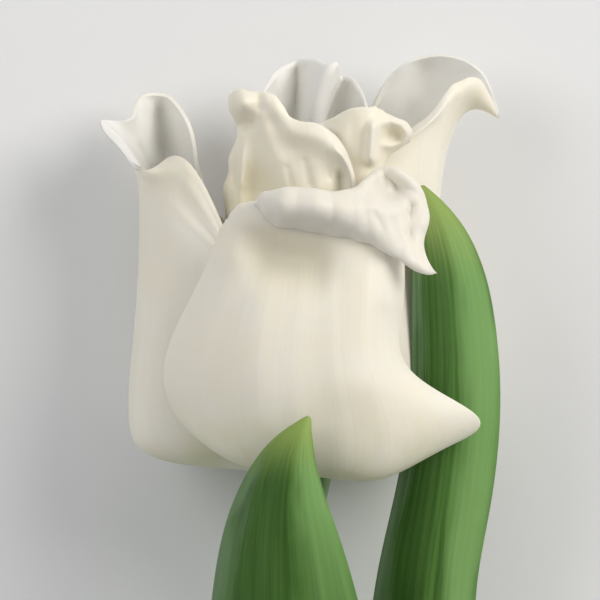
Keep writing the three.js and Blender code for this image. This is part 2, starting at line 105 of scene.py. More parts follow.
OUTER_LEFT = [
    ([-2.5, -6, -9, -10.8, -11.3, -11, -10],
     [2.6, 1.9, 1.4, 1.1, 1.1, 1.6, 2.8],
     [-10.5, -10.3, -8.3, -5.5, -2.5, 0, 1.8]),
    ([-3, -10.5, -18, -23.5, -25, -21.5, -15.5],
     [6, 4.2, 3, 2, 1.6, 2, 4],
     [-18.8, -20.5, -17.5, -11, -4.5, 0, 3]),
    ([-2.5, -11, -19, -25, -28.3, -24, -16],
     [12, 10, 9, 8, 7, 7.5, 10.5],
     [-20.5, -23.8, -21.5, -14, -4, 2.5, 5.2]),
    ([-3, -10.5, -18, -24, -26.3, -22.5, -15], 21, [-18.5, -21.2, -19.5, -13, -4, 3.8, 7.5]),
    ([-5, -11, -17.5, -23, -25.6, -21.5, -13.2], 32, [-14.5, -18.3, -17.5, -12.5, -4.5, 2.8, 7.2]),
    ([-12.5, -14.5, -18, -22, -25.2, -24, -18.8, -12.4],
     [39.5, 41, 41.5, 41.5, 41, 40.5, 39.5, 34.4],
     [-8.5, -13, -16.2, -14.5, -7.5, -1, 3.8, 6.8]),
    ([-14.6, -15.4, -18, -22, -24.8, -25.2, -22.8, -18.6, -11.8],
     [42, 47, 50, 50.2, 48.5, 46, 44.3, 44.2, 35.4],
     [-5, -8.5, -14.5, -15.5, -9.5, -4.5, -0.5, 2.8, 6.4]),
    ([-15, -15.5, -17.6, -20.6, -23.5, -25.2, -25.4, -27, -29, -28, -25.9, -24.1, -22.3, -19.1, -15.2, -11.5],
     [42.8, 49.2, 54.4, 57, 56.8, 55.8, 53.6, 52.8, 53.1, 52.2, 49.6, 45.3, 44.9, 48.6, 45.4, 36],
     [-3.4, -6.4, -10.6, -14.6, -13.4, -10.6, -8.8, -7.6, -6.4, -5, -2.8, 0.2, 1.7, 3.4, 5, 6.2]),
    ([-15.2, -15.6, -17.6, -20.5, -23.6, -25.6, -25.2, -27.6, -31.2, -30.2, -27.3, -24.5, -22.5, -19.2,
      -15.2, -11.4],
     [43.5, 50.2, 55.6, 58.4, 58.2, 57.2, 54.4, 53.6, 54, 52.4, 49, 46.1, 46.1, 50, 46.6, 36.6],
     [-3, -5.5, -9, -13, -12, -9.4, -8, -7.2, -6, -4.8, -2.9, -0.6, 0.6, 1.9, 3.8, 5.5]),
]

OUTER_RIGHT = [
    ([10, 11, 11.3, 10.8, 9, 6, 2.5],
     [2.8, 1.6, 1.1, 1.1, 1.4, 1.9, 2.6],
     [1.8, 0, -2.5, -5.5, -8.3, -10.3, -10.5]),
    ([14, 19.5, 23, 23.5, 19, 11.5, 3],
     [4.2, 2.6, 2, 2.4, 3.2, 4.4, 6.2],
     [4.6, 2.2, -3, -10, -17.5, -21.3, -19.6]),
    ([13.6, 19.5, 25.3, 26, 21, 12, 2.5],
     [11.5, 9.6, 8.6, 8.6, 9.4, 10.4, 12.4],
     [10.4, 6.6, -4, -12, -20.3, -24.3, -21.6]),
    ([13.4, 18.6, 23.6, 23.8, 19, 11, 3], 21, [12, 8.6, -2.5, -10, -18, -21.8, -20]),
    ([12.8, 17.6, 21.6, 21.3, 18, 11, 4.5], 31, [11.8, 8.4, -0.5, -8, -15.5, -19, -17.5]),
    ([11.4, 16.6, 20.3, 20.9, 19.6, 16.2, 12, 7],
     [39, 40, 40, 40.3, 40.8, 41.5, 42.3, 42],
     [9.2, 7.6, 2, -4.5, -10.5, -14.8, -16.3, -14.5]),
    ([11.4, 16.4, 20.1, 21.8, 22.4, 21.1, 17.5, 12.5, 8.5],
     [44.5, 47.5, 49.5, 50.8, 51.5, 52, 52.5, 52, 49],
     [8, 7, 3.6, -0.5, -6, -10.5, -13.8, -14.5, -12.5]),
    ([12.2, 17, 20.8, 23.7, 26, 24.6, 20, 13.5, 9],
     [48.6, 51.8, 54.5, 57.2, 56.3, 58.5, 60.2, 58, 53],
     [6.8, 6.6, 4.5, 0.8, -4, -8, -12, -13.5, -12]),
    ([14.6, 17.4, 20.6, 22.6, 24.8, 26.9, 29.1, 28.9, 27.2, 24.2, 18.9, 12.8, 10.2],
     [50, 52, 53.6, 57.4, 58.6, 59.2, 54, 54.4, 59.6, 61.8, 63.2, 60, 53.6],
     [7, 7, 6.2, 4.6, 2.4, 0.2, -2, -3.6, -5.6, -8, -10.8, -12.4, -12.2]),
    ([14.4, 17.2, 20.2, 21.9, 24.4, 27.4, 30.1, 29.9, 28.3, 25, 19, 12.3, 9.8],
     [51, 53.2, 54.8, 59, 60, 61, 53.6, 54.2, 61, 63.3, 64.7, 61.5, 54.5],
     [5.8, 5.6, 4.8, 3, 1, -1, -2.8, -3.8, -4.8, -6.8, -9.5, -11.5, -11.5]),
]

INNER_LEFT = [
    ([-9, -9.6, -8, -5, -2, 0.5], [5, 3.9, 3.4, 3.4, 3.9, 5], [-2.5, 1.5, 5.5, 8.5, 10.3, 10.5]),
    ([-13.8, -14.3, -12, -7, -1.5, 3], 10, [-4, 1.5, 8.3, 13.3, 15.5, 15.8]),
    ([-14.7, -15.2, -12.7, -7, -1, 4.5], 18, [-4.5, 1.5, 8.8, 14, 16.3, 16.3]),
    ([-13.5, -14, -12.2, -8.6, -3.8, 1, 5.5], 28, [-4, 0.5, 6, 10.8, 13.8, 14.8, 14.6]),
    ([-11.6, -12.2, -12, -10.8, -9.2, -7.2, -4.6, -1.6, 1.4, 4, 5.8, 6.6],
     [35, 35, 35, 35, 35, 35, 35, 35, 35, 35, 34.8, 34.4],
     [-3.2, -1.5, 1.2, 4.2, 6.6, 9, 11.6, 13, 13.6, 13.8, 13.6, 13.2]),
    ([-10.6, -11.3, -11.4, -10.5, -9, -6.8, -4.4, -1.4, 1.8, 4.8, 6.8, 7.6],
     [40.5, 40.5, 40.5, 40.5, 40.5, 40.5, 40.5, 40.5, 40.5, 40, 38.8, 37.2],
     [-2.6, -0.8, 2, 5, 7, 5, 9.6, 12.4, 13.2, 13.4, 12.8, 11.8]),
    ([-11.2, -12.4, -12.7, -11.2, -9.2, -6.6, -4.2, -1, 2.2, 5, 7.2, 8],
     [43.6, 43.6, 43.6, 43.6, 43.6, 43.6, 43.4, 43.2, 43, 42.4, 40.6, 38],
     [-2.2, -0.2, 2.8, 5.6, 7.6, 4.4, 9.6, 12.2, 13.2, 13.4, 12.8, 11.6]),
    ([-9.6, -10.4, -10.7, -10.2, -9, -6.6, -4.2, -1, 2, 4.9, 7.3, 8.2],
     [46, 46, 46, 46, 46, 46, 45.6, 45, 44.8, 44.2, 42, 38.8],
     [-2, 0, 3, 5.8, 8, 5.8, 10.4, 12.2, 13, 13.4, 12.8, 11.5]),
    ([-9.9, -11.2, -11.8, -10.8, -9, -6.8, -4.4, -1.2, 1.8, 4.8, 7.4, 8.3],
     [48.2, 48.2, 48.2, 48.4, 48.4, 48, 47.4, 46.8, 46.6, 45.8, 43.2, 39.5],
     [-1.8, 0.2, 3.4, 6.2, 8, 7.6, 10.6, 12, 13, 13.6, 13, 11.5]),
    ([-8.2, -9, -9.4, -9.2, -8.2, -6.6, -4.6, -1.8, 1.4, 4.7, 7.5, 8.4],
     [50.6, 50.8, 51, 51.4, 51.6, 51.2, 50.4, 49.2, 48.8, 47.8, 44.6, 40],
     [-1.6, 0.6, 3.4, 5.8, 7.4, 9, 10.2, 11.6, 13.2, 14, 13.4, 11.8]),
    ([-8.4, -9.8, -10.4, -9.6, -7.8, -6, -4.2, -1.8, 1.3, 4.6, 7.6, 8.4],
     [52.2, 53.2, 54.2, 55, 55, 54.6, 53.6, 51.4, 50.8, 49.8, 45.8, 40.4],
     [-0.8, 1.6, 4.6, 7.2, 8.6, 10.2, 11, 12.2, 13.8, 14.6, 14, 12]),
    ([-9, -11, -11.6, -9.8, -7.4, -5.2, -3.4, -1.7, 1.3, 4.7, 7.9, 8.5],
     [52.8, 54.6, 56.6, 57.8, 57, 57.4, 56, 53, 52.6, 51.5, 46.8, 40.8],
     [0, 3, 7, 9.4, 9.6, 11.2, 11.4, 11.8, 14, 14.8, 14, 12]),
    ([-9.4, -11.2, -11.6, -9.8, -7.2, -4.8, -2.9, -1.6, 1.5, 4.9, 8.1, 8.6],
     [53.6, 55.4, 57.8, 59.6, 58.4, 58.9, 57.2, 53.8, 54.2, 53.1, 47.6, 41],
     [0, 2.4, 6, 8, 8.6, 10.2, 10.4, 10.4, 12.8, 13.4, 13, 11.5]),
    ([-9.2, -10.6, -10.9, -9.5, -7.2, -5, -3.2, -1.8, 1.3, 4.6, 7.7, 8.4],
     [53, 54.6, 56.6, 58, 57.2, 57.6, 56, 52.8, 53, 52.2, 47, 41],
     [-0.4, 1.2, 3.6, 5.4, 6.8, 8.4, 8.8, 8.8, 11, 11.8, 11.6, 11]),
]

INNER_RIGHT = [
    ([1.5, 5, 8, 9.8, 10, 9], [5, 3.9, 3.4, 3.4, 3.9, 5], [9.3, 9, 6.5, 3.2, -0.3, -3.5]),
    ([2.5, 7.5, 11.8, 14, 14.2, 12.8], 10, [13, 12.8, 10, 4.8, -0.8, -5.2]),
    ([2.5, 8, 12.3, 14.6, 14.7, 13.2], 18, [13.2, 12.6, 9.6, 4, -1.8, -6.4]),
    ([3, 7.8, 11.6, 13.6, 13.7, 12.5], 28, [12, 11.6, 8.8, 4, -1.2, -5.8]),
    ([3.5, 7, 10, 12.2, 13.2, 13, 11.6], 36.5, [10.8, 10.6, 9.4, 7, 3.4, -0.8, -4.6]),
    ([3, 4.4, 6, 8.2, 10, 11.2, 12, 12.8, 13.2, 12.6, 11.6, 10.8],
     43,
     [10.4, 11, 11.6, 11.8, 10.8, 8.6, 6.6, 4.6, 2.2, -1, -3, -4]),
    ([3, 4.4, 6, 8.2, 10, 11.4, 12.2, 12.8, 13.2, 12.8, 11.8, 11],
     47.4,
     [9.6, 10.8, 12, 12.8, 12.4, 10, 7.6, 5.4, 3.2, 0, -2, -3.2]),
    ([3, 4.5, 6.2, 8.4, 10.2, 11.5, 12.6, 14, 15.2, 14.8, 13.4, 12.4],
     [50.5, 50.8, 51.4, 51.8, 51.6, 51, 50.2, 49.8, 49.6, 49.2, 49, 49],
     [8.8, 10, 11.8, 13, 13, 11.6, 9.8, 8.8, 7.2, 4, 1, -0.6]),
    ([3, 4.6, 6.4, 8.4, 10.2, 11.5, 12.8, 14.4, 16.2, 16.4, 14.8, 13.2],
     [52.6, 53, 54, 54.8, 54.6, 54.4, 53, 52.2, 51.6, 50.2, 49, 49.2],
     [8.8, 9.8, 11.4, 12.6, 13.2, 12.4, 10.8, 10.6, 9.6, 7.4, 4, 1.5]),
    ([2.6, 4, 6, 8, 9.8, 11.4, 12.8, 14.6, 16.8, 17.2, 15.6, 13.8],
     [53.8, 54.2, 55.4, 56.4, 56.2, 56.6, 55.3, 54.8, 54, 51.2, 49.4, 49.6],
     [8, 9, 10.6, 11.8, 12.2, 11.6, 10, 10, 9.2, 7.6, 5, 3]),
    ([2.8, 4.1, 6, 7.9, 9.6, 11.2, 12.5, 14.2, 16.2, 16.5, 15, 13.4],
     [52.8, 53.2, 54.4, 55.2, 55, 55.4, 54.2, 53.6, 52.8, 50.6, 49.2, 49.3],
     [7, 8, 9.4, 10.4, 10.8, 10.4, 8.8, 8.6, 7.8, 6.4, 4.2, 2.4]),
]

INNER_BACK = [
    ([7, 4.8, 1.8, -1.8, -4.8, -7], [5, 3.9, 3.4, 3.4, 3.9, 5], [-6.5, -8.6, -9.6, -9.6, -8.6, -6.5]),
    ([11, 8, 3, -3, -8, -11], 10, [-9, -12.8, -15.2, -15.2, -12.8, -9]),
    ([12, 8.5, 3.2, -3.2, -8.5, -12], 19, [-8.8, -13.2, -15.9, -15.9, -13.2, -8.8]),
    ([11.5, 8.3, 3.2, -3.2, -8.3, -11.5], 29, [-7.3, -11.5, -14.2, -14.2, -11.5, -7.3]),
    ([11, 8.6, 4.8, 0.5, -3.8, -7.8, -10.5], 39, [-5.3, -9.2, -11.8, -12, -12, -9.3, -5.3]),
    ([10.6, 9.6, 7.8, 5.4, 2.4, 1.2, 0.4, -1.2, -2.8, -4.8, -6.8, -8.5],
     47,
     [-3.5, -6.2, -8.8, -10.6, -10.4, -8.6, -8.6, -10.2, -11.4, -10.2, -7.4, -4.5]),
    ([10.6, 9.8, 8.2, 5.8, 2.6, 2.7, 1.6, -0.2, -2.2, -4.2, -5.8, -7.2],
     54,
     [-2.6, -4.8, -8, -10.8, -11, -4.6, -5, -9, -11.4, -9.6, -6.4, -3.4]),
    ([10.5, 9.7, 8.4, 6.4, 4.2, 4.4, 3.2, 1.4, -1, -3.7, -5.5, -6.9],
     [54.6, 56.4, 58.2, 58.6, 58, 59, 59.2, 59.4, 59.6, 58.8, 57.4, 55.4],
     [-2.4, -4.6, -7.8, -10, -10, -3.8, -4.4, -8.8, -11.2, -9.4, -6.6, -3.2]),
    ([10.4, 9.6, 8.4, 6.7, 4.9, 5.6, 4.3, 2.4, -0.3, -3.2, -5.2, -6.8],
     [55, 57.2, 59.4, 60.5, 60, 62.9, 61.6, 62.8, 63.2, 61.6, 59.6, 57],
     [-2, -4.2, -7, -8.8, -8.6, -3.4, -4, -7.4, -10.4, -9, -6.4, -3]),
]

LEAF_FRONT = [
    ([-4.2, -4.6, 0.5, 5.6, 5.2], -118, [-10, -3.9, -2.5, -3.9, -10]),
    ([-5, -4.8, 0.5, 5.8, 6], -110, [-9.5, -3, -1, -3, -9.5]),
    ([-9, -6.5, 0, 6, 7.8], -95, [-7, -0.5, 3.5, 0, -5.5]),
    ([-14, -8.5, -0.5, 7.5, 12], -70, [-1, 5, 9.5, 6.5, 1]),
    ([-15.5, -9.5, -1.5, 7, 13], -45, [7, 13, 17.5, 14, 8]),
    ([-14.5, -9, -2.2, 5, 10.5], -25, [13.5, 19.5, 23.5, 20.5, 15]),
    ([-12.5, -8.5, -2.8, 2.5, 6.3], -10, [18.5, 23.5, 26.5, 24, 20]),
    ([-9.5, -6.5, -2.5, 0.8, 2.6], 0, [21.5, 25.5, 27.5, 26, 23.5]),
    ([-4.8, -3, -1, 0.6, 1.5], 6.5, [24.5, 26.5, 27.5, 27, 26]),
    ([-0.1, 0.3, 0.8, 1.2, 1.45], [8.9, 9.4, 9.65, 9.6, 9.1], [25.2, 25.3, 25.4, 25.3, 25.2]),
]

LEAF_SIDE = [
    ([-1.5, 3.5, 7.5, 3.5, -1.5], -158, [-7, -6.5, -12.5, -18.5, -18]),
    ([-1, 5, 8.5, 5, -1], -148, [-5, -5, -11.5, -17.5, -17.5]),
    ([6, 9.5, 12, 11, 8.5], -125, [-2.5, -5, -9.5, -14.5, -17.5]),
    ([14, 15.2, 17.2, 18.4, 19.2], -95, [-2, -4.5, -7.5, -11.5, -15]),
    ([7.5, 12, 17.5, 21.5, 24], -60, [-6.5, -5, -4, -7.5, -12]),
    ([9.5, 14, 19.5, 24, 27], -35, [-3, 0, 1.5, -1.5, -6]),
    ([10.3, 14.5, 20, 23.5, 25.5], -18, [-0.5, 2, 4, 2, -1]),
    ([13.5, 17, 21.5, 26, 28.7], -5, [1.3, 3.6, 4.8, 3.3, 0.5]),
    ([16.6, 19.5, 23.2, 27.5, 30.4], 10, [8, 8.2, 7.5, 5, 1.5]),
    ([16.4, 19, 22.8, 26.9, 29.4], 24, [10.6, 10.3, 9, 5.5, 1.5]),
    ([16.6, 18.5, 21.8, 25.2, 27.2], 34, [11, 10.8, 9.5, 6.5, 3.5]),
    ([16.6, 17.8, 19.6, 21.6, 23], 40.5, [10.8, 10.4, 9.4, 8, 6.8]),
    ([17.2, 17.5, 17.8, 18.1, 18.4], 44, [9.6, 9.5, 9.4, 9.3, 9.2]),
]

# Petals and leaves by side, as the operators take them.
OUTER_PETALS = (("front", OUTER_FRONT), ("left", OUTER_LEFT), ("right", OUTER_RIGHT))
INNER_PETALS = (("left", INNER_LEFT), ("right", INNER_RIGHT), ("back", INNER_BACK))
LEAVES = (("front", LEAF_FRONT), ("side", LEAF_SIDE))

# Painted light and shade across a leaf, as shares of its width: where its painted shade starts and ends and
# where its painted highlight band lies, and the share of its length at which that band has its full strength.
LEAF_SHADE_AND_LIGHT = {"front": ((0.2, 0.6), 0.84, 0.85), "side": ((-0.5, 0.42), 0.8, 0)}

# First seed of the waves on each kind of blade; the next blade takes the next one.
OUTER_SEED = 11
INNER_SEED = 31
LEAF_SEED = 51

# Foot of a petal: its direction round the stem in degrees, height, radius and half width in degrees, and the
# shares of that half width at which the first rib has its points.
FEET = {
    "outer_front": (90, 0.8, 5.5, 27),
    "outer_left": (210, 0.8, 5.5, 27),
    "outer_right": (330, 0.8, 5.5, 27),
    "inner_left": (150, 2.5, 5.0, 24),
    "inner_right": (30, 2.5, 5.0, 24),
    "inner_back": (270, 2.5, 5.0, 24),
}
CLAW_SIDES = (1, 0.5, 0, -0.5, -1)

# Long folds of a petal: place across it, half width, height, and where they start and end along it. Only the
# height is a length, the rest are shares.
FOLDS = {
    "outer_front": [
        (0.30, 0.05, 0.2, 0.12, 0.5), (0.46, 0.04, 0.12, 0.1, 0.5), (0.60, 0.035, 0.14, 0.15, 0.52),
        (0.79, 0.03, 0.1, 0.15, 0.52), (0.16, 0.05, -0.2, 0.15, 0.5),
        (0.265, 0.025, -0.35, 0.62, 1.1), (0.60, 0.02, -0.25, 0.7, 1.1), (0.655, 0.02, 0.25, 0.7, 1.1),
        (0.42, 0.03, 0.2, 0.72, 1.1), (0.12, 0.02, -0.2, 0.7, 1.1),
    ],
    "outer_left": [
        (0.62, 0.05, -0.3, 0.3, 0.8), (0.72, 0.05, 0.3, 0.3, 0.85), (0.84, 0.04, -0.3, 0.35, 0.8),
    ],
    "outer_right": [(0.22, 0.05, 0.3, 0.35, 0.8), (0.34, 0.05, -0.3, 0.4, 0.85)],
    "inner_left": [(0.2, 0.03, 0.2, 0.4, 0.75), (0.3, 0.03, -0.25, 0.4, 0.75)],
    "inner_right": [(0.2, 0.04, -0.2, 0.5, 0.85)],
    "inner_back": [(0.25, 0.05, 0.25, 0.4, 0.9), (0.8, 0.05, 0.25, 0.4, 0.9)],
}

# Bumps, or hollows if negative, of a petal, in groups that start and end at a share of its length. Each runs
# through points of the front view and has a half width, a height and, if not 2, a steepness.
BUMPS = {
    "outer_front": [
        (0.1, 0.56, [
            ([(12.6, 35), (10, 29), (9.5, 15)], 4.8, 1.6), ([(-4, 33.4), (1.2, 32.4)], 4.4, -2.8),
            ([(13.6, 34), (13.6, 27)], 2.2, 1.2), ([(-9, 33)], 2.5, 0.8),
        ]),
        (0.5, 1.2, [([(12.3, 44.5), (13.5, 43.1)], 2.1, -2.8, 4)]),
        (0.66, 1.2, [
            ([(16.2, 40.6), (16, 39.4)], 0.8, -1.3, 4), ([(16, 36.6)], 0.8, -1, 4),
            ([(7.6, 41.4), (10.6, 40.4), (13, 40), (15.2, 40.8)], 1, 0.4),
            ([(10.2, 46.2), (11.6, 46.9), (13.6, 46.4), (15.6, 45), (17.4, 43.6), (18.6, 42), (18.8, 40),
              (18, 38)], 0.65, 0.9),
            ([(9.8, 46), (9.3, 44), (8.6, 42.4)], 0.6, 0.5),
            ([(-2.4, 42.6), (-2.8, 39.4)], 0.7, 0.3), ([(-0.4, 42.8), (-0.9, 39.6)], 0.4, -0.2),
            ([(2, 42.8), (2.2, 40.4)], 0.6, 0.25), ([(4.2, 42.4), (4.8, 38.4)], 0.6, -0.4),
            ([(7.2, 41.4), (8, 38)], 0.5, -0.4), ([(10.6, 39.8), (12, 37.2)], 0.5, -0.3),
            ([(13.4, 38.4), (14.6, 35.6)], 0.5, -0.3), ([(11.4, 45.8), (11.6, 43.4)], 0.35, 0.35),
            ([(13.4, 45.2), (13, 43)], 0.35, 0.3),
        ]),
    ],
    "outer_left": [(0.7, 1.2, [
        ([(-24.4, 56), (-24.2, 51), (-22.9, 47.6)], 0.9, 1.4),
        ([(-17.8, 54), (-17.2, 50), (-16.6, 46.6)], 1, 0.8), ([(-21.8, 55), (-21.2, 49.6)], 2.1, -1.8),
    ])],
    "outer_right": [(0.7, 1.2, [
        ([(15.4, 61.8), (14.2, 57.5), (13.2, 54.5)], 1.4, 0.8),
        ([(19, 61.6), (18.6, 57.4), (17, 54.8)], 1.8, -0.8),
    ])],
    "inner_left": [(0.5, 1.2, [
        ([(-8.9, 56.1)], 1.8, 2.4), ([(-9.9, 53.2), (-7.6, 53.3)], 0.8, -1.3),
        ([(-4.6, 56.6), (-3.8, 55.4)], 1.4, 0.6), ([(-6.5, 58), (-6.4, 55.5)], 0.4, -0.3),
        ([(-4.2, 53.2), (-2.6, 51.2), (-1.2, 49.8)], 1, -0.3),
        ([(-6, 54.2), (-4.8, 50.6), (-3.4, 48)], 1, 0.4),
        ([(-1.6, 52), (1.2, 51.6), (3.4, 50.8), (4.8, 49.2)], 1.7, 0.8),
        ([(5.4, 49), (7, 47.4), (7.9, 45.2), (7.9, 42)], 0.7, 0.9), ([(5.8, 45.2), (5.8, 41.6)], 0.8, -1.6),
        ([(2.2, 46.8), (2.8, 42.6)], 0.9, 0.3), ([(0.4, 47.6), (1.2, 44)], 0.5, -0.3),
        ([(-2.2, 46.6), (-1.4, 43.4)], 0.4, -0.25), ([(-10.1, 49.4), (-10, 44)], 0.4, -0.4),
        ([(3.9, 48.6), (4.3, 45)], 0.4, -0.3), ([(-8.9, 51.6), (-9, 44)], 0.7, 0.5),
    ])],
    "inner_right": [(0.5, 1.2, [
        ([(10.8, 52.6), (10.6, 50), (10.5, 47.9)], 0.85, 3, 3), ([(13.4, 51.5), (14.1, 51.3)], 1.1, -1.2),
        ([(12, 53.2), (13.4, 53.6), (15, 53), (15.9, 51.6), (15.2, 50.3), (13.6, 49.7), (12.2, 49.9)],
         0.6, 0.8),
    ])],
    "inner_back": [(0.5, 1.2, [
        ([(-0.6, 61), (-0.4, 53.5)], 1.3, -1.6), ([(3.6, 61.4), (2.3, 57), (1.4, 53)], 1, 1.2),
        ([(-3.6, 60), (-3.2, 54)], 1, 0.8),
    ])],
}

# How petals and leaves are made: depth of a hollow that gets the full painted shade, least width over which a
# margin's faces are crowded, and faces in that width.
FULL_HOLLOW = 2.6
LEAST_CROWDING = 0.4
CROWDED_FACES = 5

# Shares of a petal's or leaf's length or width over which its forms fade or its wall gets thinner.
BUMP_FADE = 0.04
FOLD_FADE = 0.12
RUFFLED_MARGIN = 0.35
THIN_MARGIN = 0.3
LEAF_MARGIN = 0.15

# Curl of a petal's sides as a share of the curl at its end, faces across and along a leaf, and heights of the
# low waves in metres.
SIDE_CURL = 0.6
LEAF_FACES = (64, 120)
PETAL_WAVE = 0.0001
LEAF_WAVE = 0.0002

# Stem, from its cut end up to the receptacle, and the parts that stand on it. The lines of a stamen give the
# distance from the stem's middle and the height above FOOT.
STEM_LINE = [
    (-1, -234.88, -18.9), (0, -190, -15), (0.5, -140, -10.2), (0.5, -90, -5), (0, -40, -1), (0, -10, 0),
    (0, 0.5, 0), (0, RECEPTACLE_TOP, 0),
]
STEM_RADII = [3.3, 3.3, 3.2, 3.1, 3, 3.1, 4.6, 3.9]
FOOT = RECEPTACLE_TOP + 0.35
PISTIL_LENGTH = 19
PISTIL_RADII = [1.9, 2.3, 2.2, 1.8, 2.2, 3]
LOBE_DEPTH = 0.08
STIGMA_LOBE_DEPTH = 0.48
STIGMA_START = 0.8
FILAMENT_LINE = [(3.1, 0), (3.2, 2.5), (4.3, 9)]
FILAMENT_RADII = [0.6, 0.8, 0.45]
ANTHER_LINE = [(4.4, 9.35), (4.6, 11.3), (5.3, 16.3), (5.7, 19.3)]
ANTHER_RADII = [0.7, 1.25, 1.2, 0.5]
GROOVE_DEPTH = 0.16
GROOVE_WIDTH = 0.22

# Widths of the two rings in a tube's ends, as shares of its smaller end radius.
END_RINGS = (0.25, 0.3)

# What the camera looks at, and the lamps round it: direction, distance, size and colour. Each lamp's power is
# the stage's value of the same name.
VIEW_CENTRE = (-0.25, 26.7, 12)
LAMPS = {
    "key": ((1.0, 0.6, 0.85), 0.9, 0.6, (1.0, 0.95, 0.89)),
    "fill": ((-0.9, 0.45, 1.0), 1.2, 0.8, (1.0, 0.98, 0.96)),
}
SKY_COLOUR = (1.0, 0.985, 0.98, 1)
FLOOR_SIZE = 6
CAMERA_REACH = 20


def bloom_base():
    """Middle of the bloom's base, found from the ring of filaments and the stem's top."""
    boxes = [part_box(f"filament_{i + 1}") for i in range(STAMENS)]
    low = np.min([box[0] for box in boxes], axis=0)
    high = np.max([box[1] for box in boxes], axis=0)
    middle = (low + high) / 2
    return np.array([middle[0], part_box("stem")[1].y - RECEPTACLE_TOP * MM, middle[2]])


BASE = bloom_base()


def a_length(name, description, default):
    return FloatProperty(name=name, description=description, default=default, unit="LENGTH")


def a_share(name, description, default):
    return FloatProperty(
        name=name, description=description, default=default, subtype="FACTOR", min=0.1, max=1)


def a_power(name, description, default):
    return FloatProperty(name=name, description=description, default=default, min=0)


def a_count(name, description, default, least):
    return IntProperty(name=name, description=description, default=default, min=least)


def a_colour(name, description, *default):
    return FloatVectorProperty(
        name=name, description=description, default=default, subtype="COLOR", min=0, max=1)


class TulipPetals(PropertyGroup):
    """Sizes of the petals."""
    wall: a_length("Wall", "Thickness of a petal at its middle", 0.0008)
    rim: a_share("Rim", "Share of the wall left at the free margin", 0.7)
    curl: a_length("Curl", "Radius of the curl of the front petal's margin", 0.0006)
    inner_curl: a_length("Inner curl", "Radius of the curl of the inner petals' margin", 0.0002)
    ruffle: a_length("Ruffle", "Height of the small waves along the margin", 0.00022)
    across: a_count("Across", "Faces across a petal", 74, 20)
    along: a_count("Along", "Faces along a petal", 88, 20)


class TulipGreens(PropertyGroup):
    """Sizes of the leaves."""
    wall: a_length("Leaf wall", "Thickness of a leaf at its middle", 0.0009)
    rim: a_share("Leaf rim", "Share of the wall left at the leaf's edge", 0.45)
    ribs: a_count("Ridges", "Long ridges across a leaf", 13, 1)
    ridge: a_length("Ridge height", "Height of the long ridges", 0.00004)


class TulipColours(PropertyGroup):
    """Colours of the flower, in linear light."""
    petal: a_colour("Petal", "Main colour of the petals", 0.90, 0.865, 0.77)
    petal_warm: a_colour("Petal warm", "Thinner, yellowish parts of the petals", 0.86, 0.79, 0.62)
    # Painted shade: the petals' inner side is greyer than the outer side.
    petal_inner_shade: a_colour("Petal inside", "Cooler inner side of the petals", 0.82, 0.825, 0.81)
    # Painted shade: the front petal's inner side, which its lip shows, is darker still.
    petal_lip_shade: a_colour("Lip", "Inner side of the front petal, which its lip shows", 0.79, 0.76, 0.685)
    # Painted shade in the petals' hollows, most of all under the front petal's lip.
    petal_shade: a_colour("Petal hollow", "Greyish tone in the hollows of the petals", 0.58, 0.555, 0.43)
    petal_deep: a_colour("Petal deep", "Olive tint low down on the inner petals", 0.74, 0.69, 0.48)
    petal_foot: a_colour("Petal foot", "Greenish tint where the petal is attached", 0.62, 0.64, 0.38)
    leaf: a_colour("Leaf", "Main colour of the leaves", 0.03, 0.095, 0.009)
    leaf_mid: a_colour("Leaf middle tone", "Streaks of the leaves", 0.08, 0.205, 0.032)
    # Real veins, and the painted highlight of the leaves' light bands.
    leaf_veins_and_highlight: a_colour("Leaf light", "Light veins and bands of the leaves", 0.20, 0.385, 0.12)
    # Painted highlight along the leaves' left edge.
    leaf_edge_highlight: a_colour("Leaf edge", "Greyish left edge of the leaves", 0.19, 0.29, 0.17)
    leaf_tip: a_colour("Leaf tip", "Yellowish tip of the leaves", 0.30, 0.42, 0.10)
    stem: a_colour("Stem", "Colour of the stem", 0.10, 0.22, 0.05)
    stem_light: a_colour("Stem light", "Pale streaks and top of the stem", 0.32, 0.46, 0.20)
    stem_cut: a_colour("Stem cut", "Pale fibres of the stem's cut end", 0.50, 0.52, 0.33)
    pollen: a_colour("Pollen", "Colour of the anthers", 0.68, 0.48, 0.14)
    pollen_dust: a_colour("Pollen dust", "Dusty patches of the anthers", 0.80, 0.64, 0.28)
    pollen_dark: a_colour("Pollen dark", "Dark grains of the anthers", 0.40, 0.25, 0.07)
    pistil: a_colour("Pistil", "Colour of the pistil", 0.50, 0.60, 0.25)
    stigma: a_colour("Stigma", "Colour of the stigma's lobes", 0.80, 0.74, 0.46)
    filament: a_colour("Filament", "Colour of the filaments", 0.76, 0.74, 0.52)


class TulipStage(PropertyGroup):
    """Floor, light and camera."""
    floor: a_colour("Floor", "Colour of the floor", 0.80, 0.82, 0.84)
    field: a_length("Field", "Width of the camera's picture at the bloom", 0.090)
    distance: a_length("Distance", "Height of the camera above the bloom", 2.0)
    key: a_power("Key light", "Power of the key light in watts", 5.8)
    fill: a_power("Fill light", "Power of the fill light in watts", 4.0)
    sky: a_power("Sky", "Strength of the light from all round", 0.38)


# Shapes


def spline_weights(points, at):
    """Weights of a clamped cubic B-spline's control points at the parameters in at, from 0 to 1."""
    spans = points - 3
    knots = np.clip(np.arange(points + 4) - 3.0, 0, spans)
    t = np.clip(np.asarray(at, float) * spans, 0, spans - 1e-9)[:, None]
    weights = ((knots[:-1] <= t) & (t < knots[1:])).astype(float)
    for degree in (1, 2, 3):
        n = weights.shape[1] - 1
        rise = knots[degree:degree + n] - knots[:n]
        fall = knots[degree + 1:degree + 1 + n] - knots[1:n + 1]
        up = np.where(rise > 0, (t - knots[:n]) / np.where(rise > 0, rise, 1), 0)
        down = np.where(fall > 0, (knots[degree + 1:degree + 1 + n] - t) / np.where(fall > 0, fall, 1), 0)
        weights = up * weights[:, :-1] + down * weights[:, 1:]
    return weights


